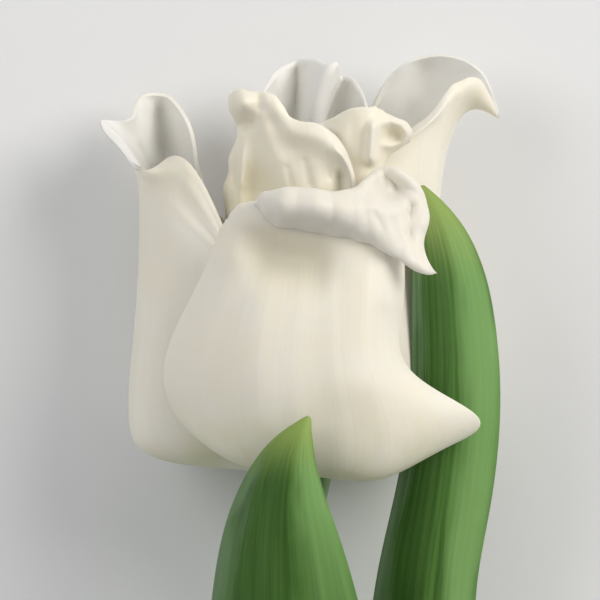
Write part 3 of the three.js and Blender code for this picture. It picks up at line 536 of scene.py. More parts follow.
def claw(azimuth, height, radius, half_width):
    """The first rib of a petal, an arc round the stem."""
    angles = [math.radians(azimuth + side * half_width) for side in CLAW_SIDES]
    return [radius * math.cos(a) for a in angles], height, [radius * math.sin(a) for a in angles]


def loft(ribs, u, v):
    """Points of the smooth surface over the ribs, one row for each v and one column for each u."""
    rows = []
    for x, y, z in ribs:
        heights = y if isinstance(y, list) else [y] * len(x)
        rows.append(spline_weights(len(x), u) @ np.column_stack([x, heights, z]))
    return np.einsum("vr,ruc->vuc", spline_weights(len(ribs), v), np.array(rows)) * MM


def outward(points):
    """Unit normals of a grid of points."""
    normals = np.cross(np.gradient(points, axis=1), np.gradient(points, axis=0))
    return normals / np.maximum(np.linalg.norm(normals, axis=2, keepdims=True), 1e-12)


def smooth_step(t, start, end):
    s = np.clip((t - start) / (end - start), 0, 1)
    return s * s * (3 - 2 * s)


def along_window(v, start, end, fade):
    """1 between start and end, fading to 0 outside."""
    return smooth_step(v, start - fade, start + fade) * (1 - smooth_step(v, end - fade, end + fade))


def crowded(faces, share, both_ends=False):
    """Parameters from 0 to 1, evenly spread but crowded over the share next to the margin, where it curls."""
    near = share * (1 - np.cos(np.linspace(0, math.pi / 2, CROWDED_FACES + 1)))[:-1]
    if both_ends:
        middle = np.linspace(share, 1 - share, faces + 1 - 2 * CROWDED_FACES)
        return np.concatenate([near, middle, 1 - near[::-1]])
    return np.concatenate([np.linspace(0, 1 - share, faces + 1 - CROWDED_FACES), 1 - near[::-1]])


def petal_grid(ribs, near):
    """Parameters across and along a petal, crowded over the length near at its margin."""
    sizes = bpy.context.scene.tulip_petals
    rough = loft(ribs, np.linspace(0, 1, 25), np.linspace(0, 1, 33))
    upper_rows = rough[20:]
    across = np.linalg.norm(np.diff(upper_rows, axis=1), axis=2).sum(1).mean()
    along = np.linalg.norm(np.diff(rough, axis=0), axis=2).sum(0).mean()
    return crowded(sizes.across, near / across, both_ends=True), crowded(sizes.along, near / along)


def lengths_from_end(points, axis):
    """Distance along the grid's lines to the end of each, in metres."""
    steps = np.linalg.norm(np.diff(points, axis=axis), axis=2)
    back = np.flip(np.cumsum(np.flip(steps, axis), axis), axis)
    pad = [(0, 0), (0, 0)]
    pad[axis] = (0, 1)
    return np.pad(back, pad)


def curl_rise(distance, radius):
    """How far a margin that curls through a quarter turn stands off, at a distance from it."""
    left = np.maximum(radius - distance, 0)
    return radius - np.sqrt(np.maximum(radius ** 2 - left ** 2, 0))


def waves(u, v, seed, count=6, pace=(2, 9)):
    """Low uneven waves over a sheet, between about -1 and 1."""
    draw = np.random.default_rng(seed)
    total = 0
    for _ in range(count):
        across, along = draw.uniform(*pace, 2)
        total = total + np.sin(across * u * math.pi + along * v * math.pi + draw.uniform(0, math.tau))
    return total / count


def edge_distance(u, v):
    """0 at the free margin of a petal, 1 at its middle."""
    return np.minimum.reduce([u, 1 - u, 1 - v]) * 2


def line_distance(x, y, line):
    """Distance in the front view from a line through the points, or from the only point, in the same unit."""
    best = np.full(x.shape, np.inf)
    for (ax, ay), (bx, by) in zip(line, line[1:] or line):
        dx, dy = bx - ax, by - ay
        t = np.clip(((x - ax) * dx + (y - ay) * dy) / max(dx * dx + dy * dy, 1e-9), 0, 1)
        best = np.minimum(best, np.hypot(x - ax - t * dx, y - ay - t * dy))
    return best


def bump_relief(key, points, v):
    """Height of a petal's bumps and hollows, in millimetres."""
    x, y = points[..., 0] / MM, points[..., 1] / MM
    relief = np.zeros_like(v)
    for start, end, bumps in BUMPS[key]:
        window = along_window(v, start, end, BUMP_FADE)
        for line, width, height, *steepness in bumps:
            power = steepness[0] if steepness else 2
            relief += height * window * np.exp(-(line_distance(x, y, line) / width) ** power)
    return relief


def fold_lift(key, u, v):
    """How far a petal's long folds stand off."""
    lift = np.zeros_like(u)
    for place, width, height, start, end in FOLDS[key]:
        drift = 0.015 * np.sin(v * 9 + place * 20)
        profile = np.exp(-((u - place - drift) / width) ** 2)
        lift += height * MM * profile * along_window(v, start, end, FOLD_FADE)
    return lift


def ruffle_lift(u, v, seed):
    """How far the ruffles of a petal's margin and the low waves over all of it stand off."""
    margin = 1 - np.clip(edge_distance(u, v) / RUFFLED_MARGIN, 0, 1)
    ruffle = waves(u, v, seed, count=5, pace=(10, 26)) * margin ** 2 * smooth_step(v, 0.45, 0.8)
    low = PETAL_WAVE * waves(u, v, seed + 1) * smooth_step(v, 0.05, 0.3)
    return bpy.context.scene.tulip_petals.ruffle * ruffle + low


def curl_lift(points, u, v, curl):
    """How far a petal's margin stands off where it curls: fully at its end, less at its sides."""
    side_curl = SIDE_CURL * curl * smooth_step(v, 0.35, 0.65) * (1 - smooth_step(v, 0.85, 0.98))
    end_curl = curl * smooth_step(np.minimum(u, 1 - u), 0, 0.12)
    right = lengths_from_end(points, 1)
    left = right[:, :1] - right
    return np.maximum.reduce([curl_rise(lengths_from_end(points, 0), end_curl),
                              curl_rise(left, side_curl), curl_rise(right, side_curl)])


def select_none():
    if bpy.context.object and bpy.context.object.mode != "OBJECT":
        bpy.ops.object.mode_set(mode="OBJECT")
    bpy.ops.object.select_all(action="DESELECT")


def vertex_places(mesh):
    places = np.empty(len(mesh.vertices) * 3)
    mesh.vertices.foreach_get("co", places)
    return places.reshape(-1, 3)


def add_attribute(mesh, name, values):
    attribute = mesh.attributes.new(name, "FLOAT", "POINT")
    attribute.data.foreach_set("value", values.astype(float))


def add_sheet(name, points, u, v):
    """A grid primitive laid on the points, with a UV map that runs across (u) and along (v) it. It comes with
    the row and column of each vertex."""
    rows, columns = points.shape[:2]
    select_none()
    bpy.ops.mesh.primitive_grid_add(
        x_subdivisions=columns - 1, y_subdivisions=rows - 1, size=2, calc_uvs=True)
    sheet = bpy.context.object
    sheet.name = sheet.data.name = name
    flat = vertex_places(sheet.data)
    i = np.rint((flat[:, 0] + 1) / 2 * (columns - 1)).astype(int)
    j = np.rint((flat[:, 1] + 1) / 2 * (rows - 1)).astype(int)
    sheet.data.vertices.foreach_set("co", points[j, i].ravel())
    corner = np.empty(len(sheet.data.loops), int)
    sheet.data.loops.foreach_get("vertex_index", corner)
    sheet.data.uv_layers.active.data.foreach_set("uv", np.column_stack([u[i], v[j]])[corner].ravel())
    sheet.data.update()
    return sheet, (j, i)


def apply_modifier(piece, kind, **settings):
    bpy.context.view_layer.objects.active = piece
    modifier = piece.modifiers.new(kind.title(), kind)
    for key, value in settings.items():
        setattr(modifier, key, value)
    bpy.ops.object.modifier_apply(modifier=modifier.name)


def thicken(sheet, sizes, inside):
    """Gives a sheet its wall towards the inner side, thinner at the margin, and rounds its rim. inside says
    how far each vertex lies inside the margin, up to 1."""
    group = sheet.vertex_groups.new(name="Wall")
    steps = np.rint(np.clip(inside, 0, 1) * 10).astype(int)
    for step in range(11):
        members = np.flatnonzero(steps == step).tolist()
        if members:
            group.add(members, step / 10, "REPLACE")
    outside = len(sheet.data.vertices)
    apply_modifier(sheet, "SOLIDIFY", thickness=sizes.wall, offset=-1, vertex_group="Wall",
                   thickness_vertex_group=sizes.rim)
    add_attribute(sheet.data, "Inner", np.arange(len(sheet.data.vertices)) >= outside)
    apply_modifier(sheet, "SUBSURF", levels=1, render_levels=1)
    sheet.vertex_groups.clear()


def lay_down(piece):
    """Flattens whatever reaches below the floor, and shades the piece smoothly."""
    places = vertex_places(piece.data)
    places[:, 2] = np.maximum(places[:, 2], 0)
    piece.data.vertices.foreach_set("co", places.ravel())
    piece.data.update()
    bpy.ops.object.shade_smooth()


def make_petal(key, ribs, curl, seed):
    """A petal lofted over its ribs, with its bumps, folds, ruffles and curled margin."""
    ribs = [claw(*FEET[key]), *ribs]
    u, v = petal_grid(ribs, max(curl, LEAST_CROWDING * MM))
    points = loft(ribs, u, v)
    uu, vv = np.meshgrid(u, v)
    relief = bump_relief(key, points, vv)
    points[..., 2] += relief * MM
    points += BASE
    lift = fold_lift(key, uu, vv)
    lift += ruffle_lift(uu, vv, seed)
    lift += curl_lift(points, uu, vv, curl)
    points += outward(points) * lift[..., None]
    points[..., 2] = np.maximum(points[..., 2], 0)
    petal, order = add_sheet(f"petal_{key}", points, u, v)
    # The depth of each hollow sets how much painted shade it gets.
    add_attribute(petal.data, "HollowShade", np.clip(-relief / FULL_HOLLOW, 0, 1)[order])
    thicken(petal, bpy.context.scene.tulip_petals, edge_distance(uu, vv)[order] / THIN_MARGIN)
    lay_down(petal)
    return petal


def make_leaf(name, ribs, seed):
    """A leaf lofted over its ribs, with long ridges and low waves."""
    sizes = bpy.context.scene.tulip_greens
    u, v = (np.linspace(0, 1, faces + 1) for faces in LEAF_FACES)
    points = loft(ribs, u, v) + BASE
    uu, vv = np.meshgrid(u, v)
    fade = smooth_step(vv, 0, 0.1) * (1 - smooth_step(vv, 0.9, 1))
    lift = sizes.ridge * np.cos(uu * sizes.ribs * math.tau) * fade
    lift += LEAF_WAVE * waves(uu, vv, seed, pace=(1, 7)) * fade
    points += outward(points) * lift[..., None]
    leaf, order = add_sheet(name, points, u, v)
    thicken(leaf, sizes, np.minimum(uu, 1 - uu)[order] / LEAF_MARGIN)
    lay_down(leaf)
    return leaf


def catmull(points, at):
    """Points of a smooth curve through the given ones, at parameters from 0 to 1."""
    points = np.asarray(points, float)
    if points.ndim == 1:
        points = points[:, None]
    padded = np.vstack([2 * points[0] - points[1], points, 2 * points[-1] - points[-2]])
    t = np.clip(np.asarray(at, float) * (len(points) - 1), 0, len(points) - 1 - 1e-9)
    k = t.astype(int)
    t = (t - k)[:, None]
    a, b, c, d = (padded[k + i] for i in range(4))
    square, cube = 2 * a - 5 * b + 4 * c - d, 3 * b - a - 3 * c + d
    return 0.5 * (2 * b + (c - a) * t + square * t ** 2 + cube * t ** 3)


def tube_points(line, radii, sides, steps, relief=None):
    """Rings round a line, as a grid of points whose first and last columns meet."""
    at = np.linspace(0, 1, steps + 1)
    centres = catmull(line, at)
    radius = catmull(radii, at)[:, 0]
    tangents = np.gradient(centres, axis=0)
    tangents /= np.linalg.norm(tangents, axis=1, keepdims=True)
    side = np.cross(tangents, [0, 0, 1])
    side /= np.linalg.norm(side, axis=1, keepdims=True)
    front = np.cross(side, tangents)
    around, up = np.meshgrid(np.linspace(0, math.tau, sides + 1), at)
    r = radius[:, None] * (relief(around, up) if relief else 1)
    ring = side[:, None] * np.cos(around)[..., None] + front[:, None] * np.sin(around)[..., None]
    return centres[:, None] + ring * r[..., None]


def make_tube(name, line, radii, sides, steps, rounded, relief=None):
    """A closed stalk: a sheet rolled round a line, its seam merged and its ends closed, inset and rounded."""
    points = tube_points(line, radii, sides, steps, relief) * MM + BASE
    stalk, _ = add_sheet(name, points, np.linspace(0, 1, sides + 1), np.linspace(0, 1, steps + 1))
    bpy.ops.object.mode_set(mode="EDIT")
    bpy.ops.mesh.select_all(action="SELECT")
    bpy.ops.mesh.remove_doubles(threshold=1e-7)
    bpy.ops.mesh.select_all(action="DESELECT")
    bpy.ops.mesh.select_mode(type="EDGE")
    bpy.ops.mesh.select_non_manifold()
    bpy.ops.mesh.edge_face_add()
    bpy.ops.mesh.select_mode(type="FACE")
    bpy.ops.mesh.select_all(action="DESELECT")
    mesh = bmesh.from_edit_mesh(stalk.data)
    for face in mesh.faces:
        face.select_set(len(face.verts) > 4)
    bmesh.update_edit_mesh(stalk.data)
    outer, inner = (min(radii[0], radii[-1]) * MM * share for share in END_RINGS)
    bpy.ops.mesh.inset(thickness=outer, use_individual=True)
    bpy.ops.mesh.inset(thickness=inner, use_individual=True, depth=rounded * MM)
    bpy.ops.mesh.select_all(action="SELECT")
    bpy.ops.mesh.normals_make_consistent(inside=False)
    bpy.ops.object.mode_set(mode="OBJECT")
    lay_down(stalk)
    return stalk


def copies_round(first, name):
    """The first stamen's piece and its copies, each with its own mesh, turned round the stem's line."""
    pieces = [first]
    to_axis = Matrix.Translation(BASE)
    for i in range(1, STAMENS):
        select_none()
        first.select_set(True)
        bpy.context.view_layer.objects.active = first
        bpy.ops.object.duplicate()
        piece = bpy.context.object
        piece.name = piece.data.name = f"{name}_{i + 1}"
        turn = Matrix.Rotation(-i * math.tau / STAMENS, 4, "Y")
        piece.data.transform(to_axis @ turn @ to_axis.inverted())
        pieces.append(piece)
    return pieces


# Materials


def new_group(name, inputs, outputs):
    """An empty node group with the named sockets, of the kinds and with the defaults given."""
    group = bpy.data.node_groups.new(name, "ShaderNodeTree")
    for direction, sockets in (("INPUT", inputs), ("OUTPUT", outputs)):
        for kind, label, *default in sockets:
            socket = group.interface.new_socket(label, in_out=direction, socket_type=f"NodeSocket{kind}")
            if default:
                socket.default_value = default[0]
    enter = group.nodes.new("NodeGroupInput")
    leave = group.nodes.new("NodeGroupOutput")
    return Nodes(group), enter.outputs, leave.inputs


class Nodes:
    """Adds nodes to a tree and links them by socket."""

    def __init__(self, tree):
        self.tree = tree

    def add(self, kind, **settings):
        node = self.tree.nodes.new(kind)
        for key, value in settings.items():
            setattr(node, key, value)
        return node

    def put(self, value, socket):
        """Links a socket, or sets a plain value."""
        if isinstance(value, NodeSocket):
            self.tree.links.new(value, socket)
        else:
            socket.default_value = value

    def put_all(self, node, values):
        for key, value in values.items():
            self.put(value, node.inputs[key])
        return node

    def split(self, vector):
        node = self.add("ShaderNodeSeparateXYZ")
        self.put(vector, node.inputs[0])
        return node.outputs["X"], node.outputs["Y"]

    def maths(self, operation, *values, clamp=False):
        node = self.add("ShaderNodeMath", operation=operation, use_clamp=clamp)
        for socket, value in zip(node.inputs, values):
            self.put(value, socket)
        return node.outputs[0]

    def times(self, a, b):
        return self.maths("MULTIPLY", a, b)

    def plus(self, a, b):
        return self.maths("ADD", a, b)

    def minus(self, a, b):
        return self.maths("SUBTRACT", a, b)

    def blend(self, a, b, part):
        """So much of a, and the rest of b."""
        return self.plus(self.times(a, part), self.times(b, 1 - part))

    def mix(self, factor, a, b):
        """Goes from colour a to colour b."""
        node = self.add("ShaderNodeMix", data_type="RGBA")
        self.put(factor, node.inputs["Factor"])
        for key, value in (("A", a), ("B", b)):
            self.put(value if isinstance(value, NodeSocket) else (*value, 1), node.inputs[key])
        return node.outputs["Result"]

    def tint(self, base, colour, mask, most):
        """Turns the base to a colour where the mask is 1, by the given share at most."""
        return self.mix(self.times(mask, most), base, colour)

    def span(self, value, low, high, to_low=0.0, to_high=1.0, smooth=True):
        """Maps low..high to to_low..to_high, clamped."""
        node = self.add("ShaderNodeMapRange", interpolation_type="SMOOTHSTEP" if smooth else "LINEAR")
        return self.put_all(node, {"Value": value, "From Min": low, "From Max": high, "To Min": to_low,
                                   "To Max": to_high}).outputs["Result"]

    def noise(self, vector, scale, detail=3.0, roughness=0.55):
        return self.put_all(self.add("ShaderNodeTexNoise"), {
            "Vector": vector, "Scale": scale, "Detail": detail, "Roughness": roughness}).outputs["Fac"]

    def streaks(self, across, along, detail=3.0):
        """Noise over two values that are already stretched as far as its streaks need."""
        node = self.add("ShaderNodeCombineXYZ")
        return self.noise(self.put_all(node, {"X": across, "Y": along}).outputs["Vector"], 1.0, detail)


def vein_group():
    """Fine lines that run along a petal or leaf, wavering and uneven in strength. Even sets how regular
    they are."""
    n, given, out = new_group(
        "Long Veins",
        [("Vector", "UV"), ("Float", "Veins", 40.0), ("Float", "Waver", 0.01), ("Float", "Even", 0.5)],
        [("Float", "Lines"), ("Float", "Height")])
    across, along = n.split(given["UV"])
    drift = n.streaks(n.times(across, 5.0), n.times(along, 3.0), detail=2.0)
    place = n.times(n.plus(across, n.times(n.minus(drift, 0.5), given["Waver"])), given["Veins"])
    wave = n.maths("COSINE", n.times(place, math.tau))
    even = n.maths("POWER", n.plus(n.times(wave, 0.5), 0.5), 2.0)
    uneven = n.span(n.streaks(place, n.times(along, 2.2)), 0.42, 0.7)
    lines = n.plus(n.times(even, given["Even"]), n.times(uneven, n.minus(1.0, given["Even"])))
    n.put(lines, out["Lines"])
    fibres = n.streaks(n.times(place, 5.0), n.times(along, 7.0), detail=4.0)
    n.put(n.blend(lines, fibres, 0.6), out["Height"])


def mottle_group():
    """Soft cloudy patches and a finer grain, as on living tissue."""
    n, given, out = new_group(
        "Living Mottle", [("Vector", "Vector"), ("Float", "Patch", 120.0), ("Float", "Grain", 2600.0)],
        [("Float", "Patches"), ("Float", "Cells")])
    n.put(n.span(n.noise(given["Vector"], given["Patch"]), 0.32, 0.68), out["Patches"])
    n.put(n.noise(given["Vector"], given["Grain"], 2.0, 0.6), out["Cells"])


class Finish(Nodes):
    """A new material with its Principled shader, and the coordinates that it reads."""

    def __init__(self, name, **plain):
        self.material = bpy.data.materials.new(name)
        self.material.use_nodes = True
        super().__init__(self.material.node_tree)
        self.shader = self.tree.nodes["Principled BSDF"]
        self.put_all(self.shader, {key.replace("_", " "): value for key, value in plain.items()})
        coords = self.add("ShaderNodeTexCoord").outputs
        self.uv, self.place = coords["UV"], coords["Object"]
        self.across, self.along = self.split(self.uv)

    def group(self, name, **values):
        return self.put_all(self.add("ShaderNodeGroup", node_tree=bpy.data.node_groups[name]), values).outputs

    def veins(self, **values):
        veins = self.group("Long Veins", UV=self.uv, **values)
        return veins["Lines"], veins["Height"]

    def mottle(self, **values):
        mottle = self.group("Living Mottle", Vector=self.place, **values)
        return mottle["Patches"], mottle["Cells"]

    def attribute(self, name):
        return self.add("ShaderNodeAttribute", attribute_name=name).outputs["Fac"]

    def finish(self, base, roughness, height=None, depth=0.0, strength=1.0):
        """Gives the shader its colour, roughness and bump, whose depth is in metres."""
        self.put_all(self.shader, {"Base Color": base, "Roughness": roughness})
        if height:
            bump = self.put_all(self.add("ShaderNodeBump"), {
                "Strength": strength, "Distance": depth, "Height": height})
            self.put(bump.outputs["Normal"], self.shader.inputs["Normal"])
        return self.material


def petal_finish(name, warmth, inside, deep=0.0):
    """Satin petal skin: cream white, warmer in patches and streaks, with painted shade in its hollows, green
    at its foot, with fine veins along it. Its inner side has the colour inside, a painted shade, and deep is
    how much its lower half turns to olive."""
    colours = bpy.context.scene.tulip_colours
    look = Finish(name, IOR=1.4, Subsurface_Weight=0.3, Subsurface_Radius=(1.0, 0.8, 0.5),
                  Subsurface_Scale=0.002, Sheen_Weight=0.08, Sheen_Roughness=0.5)
    lines, ridges = look.veins(Veins=40.0, Waver=0.03, Even=0.1)
    patches, cells = look.mottle(Patch=90.0)
    warm = look.maths("ADD", look.times(patches, 0.35), warmth, clamp=True)
    base = look.mix(warm, colours.petal, colours.petal_warm)
    base = look.tint(base, colours.petal_warm, lines, 0.11)
    streak = look.streaks(look.times(look.across, 34.0), look.times(look.along, 1.6))
    base = look.mix(look.span(streak, 0.35, 0.75, 0.0, 0.24), base, colours.petal_warm)
    base = look.tint(base, colours.petal_deep, look.span(look.along, 0.7, 0.42), deep)
    # Painted shade in the hollows.
    base = look.tint(base, colours.petal_shade, look.attribute("HollowShade"), 0.75)
    # Painted shade on the inner side.
    base = look.tint(base, inside, look.attribute("Inner"), 0.85)
    green = look.maths("MULTIPLY", look.span(look.along, 0.26, 0.02),
                       look.span(patches, -0.6, 1.2, smooth=False), clamp=True)
    return look.finish(look.mix(green, base, colours.petal_foot), look.span(cells, 0.3, 0.7, 0.40, 0.52),
                       look.blend(ridges, cells, 0.8), depth=0.00005, strength=0.5)


def leaf_finish(name, shade, lit_band, full):
    """Waxy leaf with fine uneven veins, yellowish at its tip, with painted light and shade: painted shade
    between the two places in shade, a painted highlight in a band round lit_band (shares of its width), and a
    greyish painted highlight along its left edge. The painted band is weak low on the leaf and has its full
    strength at full, a share of its length."""
    colours = bpy.context.scene.tulip_colours
    look = Finish(name, IOR=1.4, Specular_IOR_Level=0.35, Sheen_Weight=0.02)
    lines, ridges = look.veins(Veins=30.0, Waver=0.05, Even=0.12)
    patches, cells = look.mottle(Patch=90.0)
    drift = look.streaks(look.times(look.across, 3.0), look.times(look.along, 5.0), detail=2.0)
    across = look.plus(look.across, look.span(drift, 0.3, 0.7, -0.05, 0.05))
    streak = look.streaks(look.times(across, 11.0), look.times(look.along, 1.5))
    base = look.mix(look.span(streak, 0.35, 0.72), colours.leaf, colours.leaf_mid)
    start, end = shade
    # Painted shade: the dark main colour over the stretch that turns away from the light.
    dark = look.times(look.span(across, start - 0.08, start + 0.08),
                      look.span(across, end + 0.06, end - 0.06))
    base = look.tint(base, colours.leaf, dark, 0.85)
    # Painted highlight: a light band where the leaf turns towards the key light.
    light = look.times(look.span(look.maths("ABSOLUTE", look.minus(across, lit_band)), 0.28, 0.08),
                       look.span(look.along, full - 0.3, full + 0.04, 0.3, 1.0))
    base = look.tint(base, colours.leaf_veins_and_highlight, light, 0.9)
    base = look.tint(base, colours.leaf_veins_and_highlight, lines, 0.13)
    base = look.tint(base, colours.leaf_mid, patches, 0.12)
    # Painted highlight along the left edge.
    edge = look.times(look.span(across, 0.16, 0.02), look.span(look.along, 1.0, 0.8))
    base = look.tint(base, colours.leaf_edge_highlight, edge, 0.6)
    base = look.tint(base, colours.leaf_tip, look.span(look.along, 0.84, 1.0), 0.85)
    return look.finish(base, look.span(patches, 0.0, 1.0, 0.42, 0.55), look.blend(ridges, cells, 0.85),
                       depth=0.00012, strength=0.6)


def stem_finish(name):
    """Smooth green stem with fine streaks, paler under the bloom, fibrous at its cut end."""
    colours = bpy.context.scene.tulip_colours
    look = Finish(name, IOR=1.45)
    lines, ridges = look.veins(Veins=22.0, Waver=0.02, Even=0.3)
    patches, cells = look.mottle(Patch=160.0)
    base = look.tint(colours.stem, colours.stem_light, lines, 0.3)
    base = look.tint(base, colours.stem_light, patches, 0.25)
    base = look.tint(base, colours.stem_light, look.span(look.along, 0.88, 1.0), 0.8)
    base = look.tint(base, colours.stem_cut, look.span(look.along, 0.006, 0.0), 0.8)
    return look.finish(base, look.span(cells, 0.3, 0.7, 0.40, 0.54), look.blend(ridges, cells, 0.8),
                       depth=0.00008, strength=0.6)


def pistil_finish(name):
    """Green ovary that turns into a pale grainy stigma."""
    colours = bpy.context.scene.tulip_colours
    look = Finish(name, IOR=1.42, Subsurface_Weight=0.08, Subsurface_Scale=0.001)
    patches, cells = look.mottle(Patch=300.0, Grain=4200.0)
    base = look.tint(colours.pistil, colours.stigma, patches, 0.3)
    crown = look.span(look.along, 0.72, 0.82)
    return look.finish(look.mix(crown, base, colours.stigma), look.span(crown, 0.0, 1.0, 0.42, 0.75), cells,
                       depth=0.0001, strength=0.6)


def filament_finish(name):
    """Pale smooth filament, greener at its foot."""
    colours = bpy.context.scene.tulip_colours
    look = Finish(name, IOR=1.4, Subsurface_Weight=0.1, Subsurface_Scale=0.0008)
    patches, cells = look.mottle(Patch=400.0, Grain=4000.0)
    base = look.mix(look.span(look.along, 0.5, 0.0), colours.filament, colours.pistil)
    base = look.tint(base, colours.stigma, patches, 0.15)
    return look.finish(base, look.span(cells, 0.3, 0.7, 0.45, 0.6), cells, depth=0.00005, strength=0.5)


def anther_finish(name):
    """Dusty pollen sacs with dark grains."""
    colours = bpy.context.scene.tulip_colours
    look = Finish(name, IOR=1.4)
    patches, cells = look.mottle(Patch=900.0, Grain=7000.0)
    base = look.tint(colours.pollen, colours.pollen_dust, patches, 0.5)
    base = look.mix(look.span(cells, 0.62, 0.75), base, colours.pollen_dark)
    return look.finish(base, look.span(cells, 0.3, 0.7, 0.75, 0.92), cells, depth=0.00018, strength=0.9)


def floor_finish(name):
    """Plain matt floor with a faint unevenness."""
    look = Finish(name)
    colour = bpy.context.scene.tulip_stage.floor
    shade = look.span(look.noise(look.place, 14.0, 2.0), 0.2, 0.8, 0.0, 0.05)
    grain = look.noise(look.place, 500.0, 2.0)
    return look.finish(look.mix(shade, colour, [part * 0.85 for part in colour]),
                       look.span(grain, 0.3, 0.7, 0.82, 0.92))


def finish_of(name, make, *values):
    """The named material, made on first use together with the groups it needs."""
    if "Long Veins" not in bpy.data.node_groups:
        vein_group()
        mottle_group()
    return bpy.data.materials.get(name) or make(name, *values)


def hand_over(piece, material, node):
    """Dresses a piece, and lets it stand for its solid."""
    piece.data.materials.append(material)
    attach(piece, "root")
    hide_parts(node)


# Operators


class TULIP_OT_outer_petals(Operator):
    """Adds the three outer petals: a rolled lip in front and a rolled spout at each side"""
    bl_idname = "tulip.outer_petals"
    bl_label = "Outer Petals"

    def execute(self, context):
        colours = context.scene.tulip_colours
        # The front petal takes a shaded copy of the petal finish, whose inner side, shown by the lip, carries
        # a darker painted shade.
        looks = {"front": ("Tulip Shaded Lip Petal", colours.petal_lip_shade)}
        curls = {"front": context.scene.tulip_petals.curl}
        for seed, (side, ribs) in enumerate(OUTER_PETALS, start=OUTER_SEED):
            petal = make_petal(f"outer_{side}", ribs, curls.get(side, 0), seed)
            look, inside = looks.get(side, ("Tulip Outer Petal", colours.petal_inner_shade))
            hand_over(petal, finish_of(look, petal_finish, 0.05, inside), f"outer_tepal_{side}")
        return {"FINISHED"}


class TULIP_OT_inner_petals(Operator):
    """Adds the three ruffled inner petals of the crown"""
    bl_idname = "tulip.inner_petals"
    bl_label = "Inner Petals"

    def execute(self, context):
        inside = context.scene.tulip_colours.petal_inner_shade
        look = finish_of("Tulip Inner Petal", petal_finish, 0.15, inside, 0.5)
        for seed, (side, ribs) in enumerate(INNER_PETALS, start=INNER_SEED):
            petal = make_petal(f"inner_{side}", ribs, context.scene.tulip_petals.inner_curl, seed)
            hand_over(petal, look, f"inner_tepal_{side}")
        return {"FINISHED"}


class TULIP_OT_leaves(Operator):
    """Adds the two strap leaves with their parallel ridges"""
    bl_idname = "tulip.leaves"
    bl_label = "Leaves"

    def execute(self, context):
        for seed, (side, ribs) in enumerate(LEAVES, start=LEAF_SEED):
            leaf = make_leaf(f"blade_{side}", ribs, seed)
            look = finish_of(f"Tulip Leaf {side.title()}", leaf_finish, *LEAF_SHADE_AND_LIGHT[side])
            hand_over(leaf, look, f"leaf_{side}")
        return {"FINISHED"}


class TULIP_OT_stem(Operator):
    """Adds the stem with the receptacle under the bloom and its fibrous cut end"""
    bl_idname = "tulip.stem"
    bl_label = "Stem"

    def execute(self, context):
        def uneven(around, up):
            return 1 + 0.012 * np.sin(around * 5 + up * 6) + 0.01 * np.sin(around * 3 - up * 11)
        stem = make_tube("stalk", STEM_LINE, STEM_RADII, sides=48, steps=260, rounded=-0.25, relief=uneven)
        hand_over(stem, finish_of("Tulip Stem", stem_finish), "stem")
        return {"FINISHED"}


class TULIP_OT_pistil(Operator):
    """Adds the pistil: a three-sided ovary under a lobed stigma"""
    bl_idname = "tulip.pistil"
    bl_label = "Pistil"

    def execute(self, context):
        def lobed(around, up):
            stigma = smooth_step(up, STIGMA_START - 0.06, STIGMA_START + 0.12)
            depth = LOBE_DEPTH + (STIGMA_LOBE_DEPTH - LOBE_DEPTH) * stigma
            return 1 + depth * np.cos(3 * around) - 0.035 * np.abs(np.cos(1.5 * around)) ** 12
        line = [(0, FOOT + PISTIL_LENGTH * s, 0) for s in np.linspace(0, 1, len(PISTIL_RADII))]
        pistil = make_tube("ovary", line, PISTIL_RADII, sides=72, steps=96, rounded=-0.3, relief=lobed)
        hand_over(pistil, finish_of("Tulip Pistil", pistil_finish), "pistil")
        return {"FINISHED"}


class TULIP_OT_stamens(Operator):
    """Adds six stamens round the pistil, each a filament with a grooved anther"""
    bl_idname = "tulip.stamens"
    bl_label = "Stamens"

    def execute(self, context):
        def beside_pistil(line):
            angle = math.tau / STAMENS / 2
            return [(r * math.cos(angle), FOOT + y, r * math.sin(angle)) for r, y in line]

        def grooved(around, up):
            groove = np.exp(-(np.sin(around) / GROOVE_WIDTH) ** 2)
            return 1 - GROOVE_DEPTH * groove * np.sin(math.pi * up)
        thread = make_tube("thread_1", beside_pistil(FILAMENT_LINE), FILAMENT_RADII, sides=20, steps=28,
                           rounded=0.05)
        look = finish_of("Tulip Filament", filament_finish)
        for i, piece in enumerate(copies_round(thread, "thread"), start=1):
            hand_over(piece, look, f"filament_{i}")
        sac = make_tube("sac_1", beside_pistil(ANTHER_LINE), ANTHER_RADII, sides=36, steps=40, rounded=0.1,
                        relief=grooved)
        look = finish_of("Tulip Anther", anther_finish)
        for i, piece in enumerate(copies_round(sac, "sac"), start=1):
            hand_over(piece, look, f"anther_{i}")
        return {"FINISHED"}


def aim(thing, place, target):
    """Puts a lamp or camera at a place so that it looks at a target, with its top towards the bloom's top."""
    back = np.array(place, float) - np.array(target, float)
    back /= np.linalg.norm(back)
    right = np.cross((0, 1, 0), back)
    right /= np.linalg.norm(right)
    turn = Matrix((right, np.cross(back, right), back)).transposed().to_4x4()
    thing.matrix_world = Matrix.Translation(place) @ turn


def add_lamp(name, target, power):
    direction, distance, size, colour = LAMPS[name]
    bpy.ops.object.light_add(type="AREA")
    lamp = bpy.context.object
    lamp.name = name
    lamp.visible_camera = False
    for key, value in (("shape", "DISK"), ("size", size), ("energy", power), ("color", colour)):
        setattr(lamp.data, key, value)
    aim(lamp, target + np.array(direction) / np.linalg.norm(direction) * distance, target)


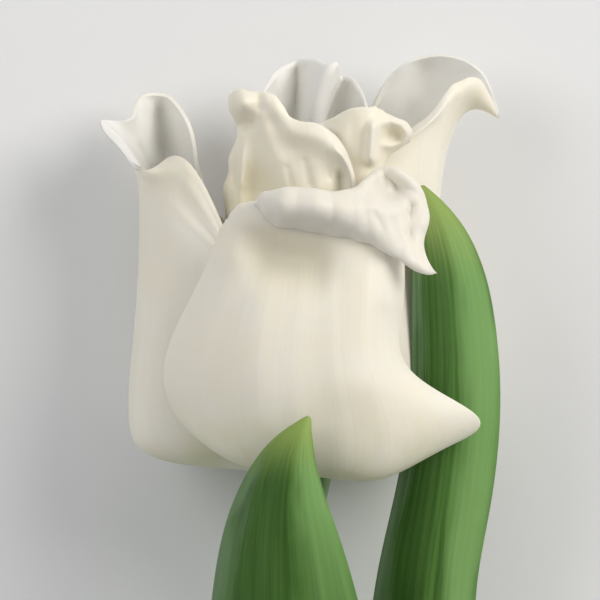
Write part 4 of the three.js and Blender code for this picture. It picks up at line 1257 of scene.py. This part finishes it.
class TULIP_OT_stage(Operator):
    """Adds the pale floor, the soft light and the camera"""
    bl_idname = "tulip.stage"
    bl_label = "Stage"

    def execute(self, context):
        stage = context.scene.tulip_stage
        focus = BASE + np.array(VIEW_CENTRE) * MM
        select_none()
        bpy.ops.mesh.primitive_grid_add(x_subdivisions=2, y_subdivisions=2, size=FLOOR_SIZE)
        floor = context.object
        floor.name = "floor"
        floor.data.materials.append(finish_of("Pale Floor", floor_finish))
        for name in LAMPS:
            add_lamp(name, focus, getattr(stage, name))
        world = bpy.data.worlds.new("Soft Studio")
        context.scene.world = world
        world.use_nodes = True
        sky = world.node_tree.nodes["Background"]
        sky.inputs["Color"].default_value = SKY_COLOUR
        sky.inputs["Strength"].default_value = stage.sky
        bpy.ops.object.camera_add()
        camera = context.object
        camera.data.lens = camera.data.sensor_width * stage.distance / stage.field
        camera.data.clip_end = CAMERA_REACH
        aim(camera, focus + np.array([0, 0, stage.distance]), focus)
        context.scene.camera = camera
        context.scene.view_settings.view_transform = "Standard"
        return {"FINISHED"}


class TULIP_PT_panel(Panel):
    """Lists the flower's sizes and colours, its pieces and its stage in the sidebar"""
    bl_idname = "TULIP_PT_panel"
    bl_label = "Coronet Tulip"
    bl_space_type = "VIEW_3D"
    bl_region_type = "UI"
    bl_category = "Tulip"

    def draw(self, context):
        for group in GROUPS:
            settings = getattr(context.scene, group)
            column = self.layout.column(align=True)
            for key in settings.__annotations__:
                column.prop(settings, key)
        for step in STEPS:
            self.layout.operator(f"tulip.{step}")


STEPS = ("outer_petals", "inner_petals", "leaves", "stem", "pistil", "stamens", "stage")
GROUPS = {
    "tulip_petals": TulipPetals,
    "tulip_greens": TulipGreens,
    "tulip_colours": TulipColours,
    "tulip_stage": TulipStage,
}
CLASSES = (
    *GROUPS.values(), TULIP_OT_outer_petals, TULIP_OT_inner_petals, TULIP_OT_leaves, TULIP_OT_stem,
    TULIP_OT_pistil, TULIP_OT_stamens, TULIP_OT_stage, TULIP_PT_panel,
)


def register():
    for cls in CLASSES:
        bpy.utils.register_class(cls)
    for key, cls in GROUPS.items():
        setattr(bpy.types.Scene, key, PointerProperty(type=cls))


def unregister():
    for key in GROUPS:
        delattr(bpy.types.Scene, key)
    for cls in reversed(CLASSES):
        bpy.utils.unregister_class(cls)


def main():
    register()
    for step in STEPS:
        getattr(bpy.ops.tulip, step)()


if __name__ == "__main__":
    main()
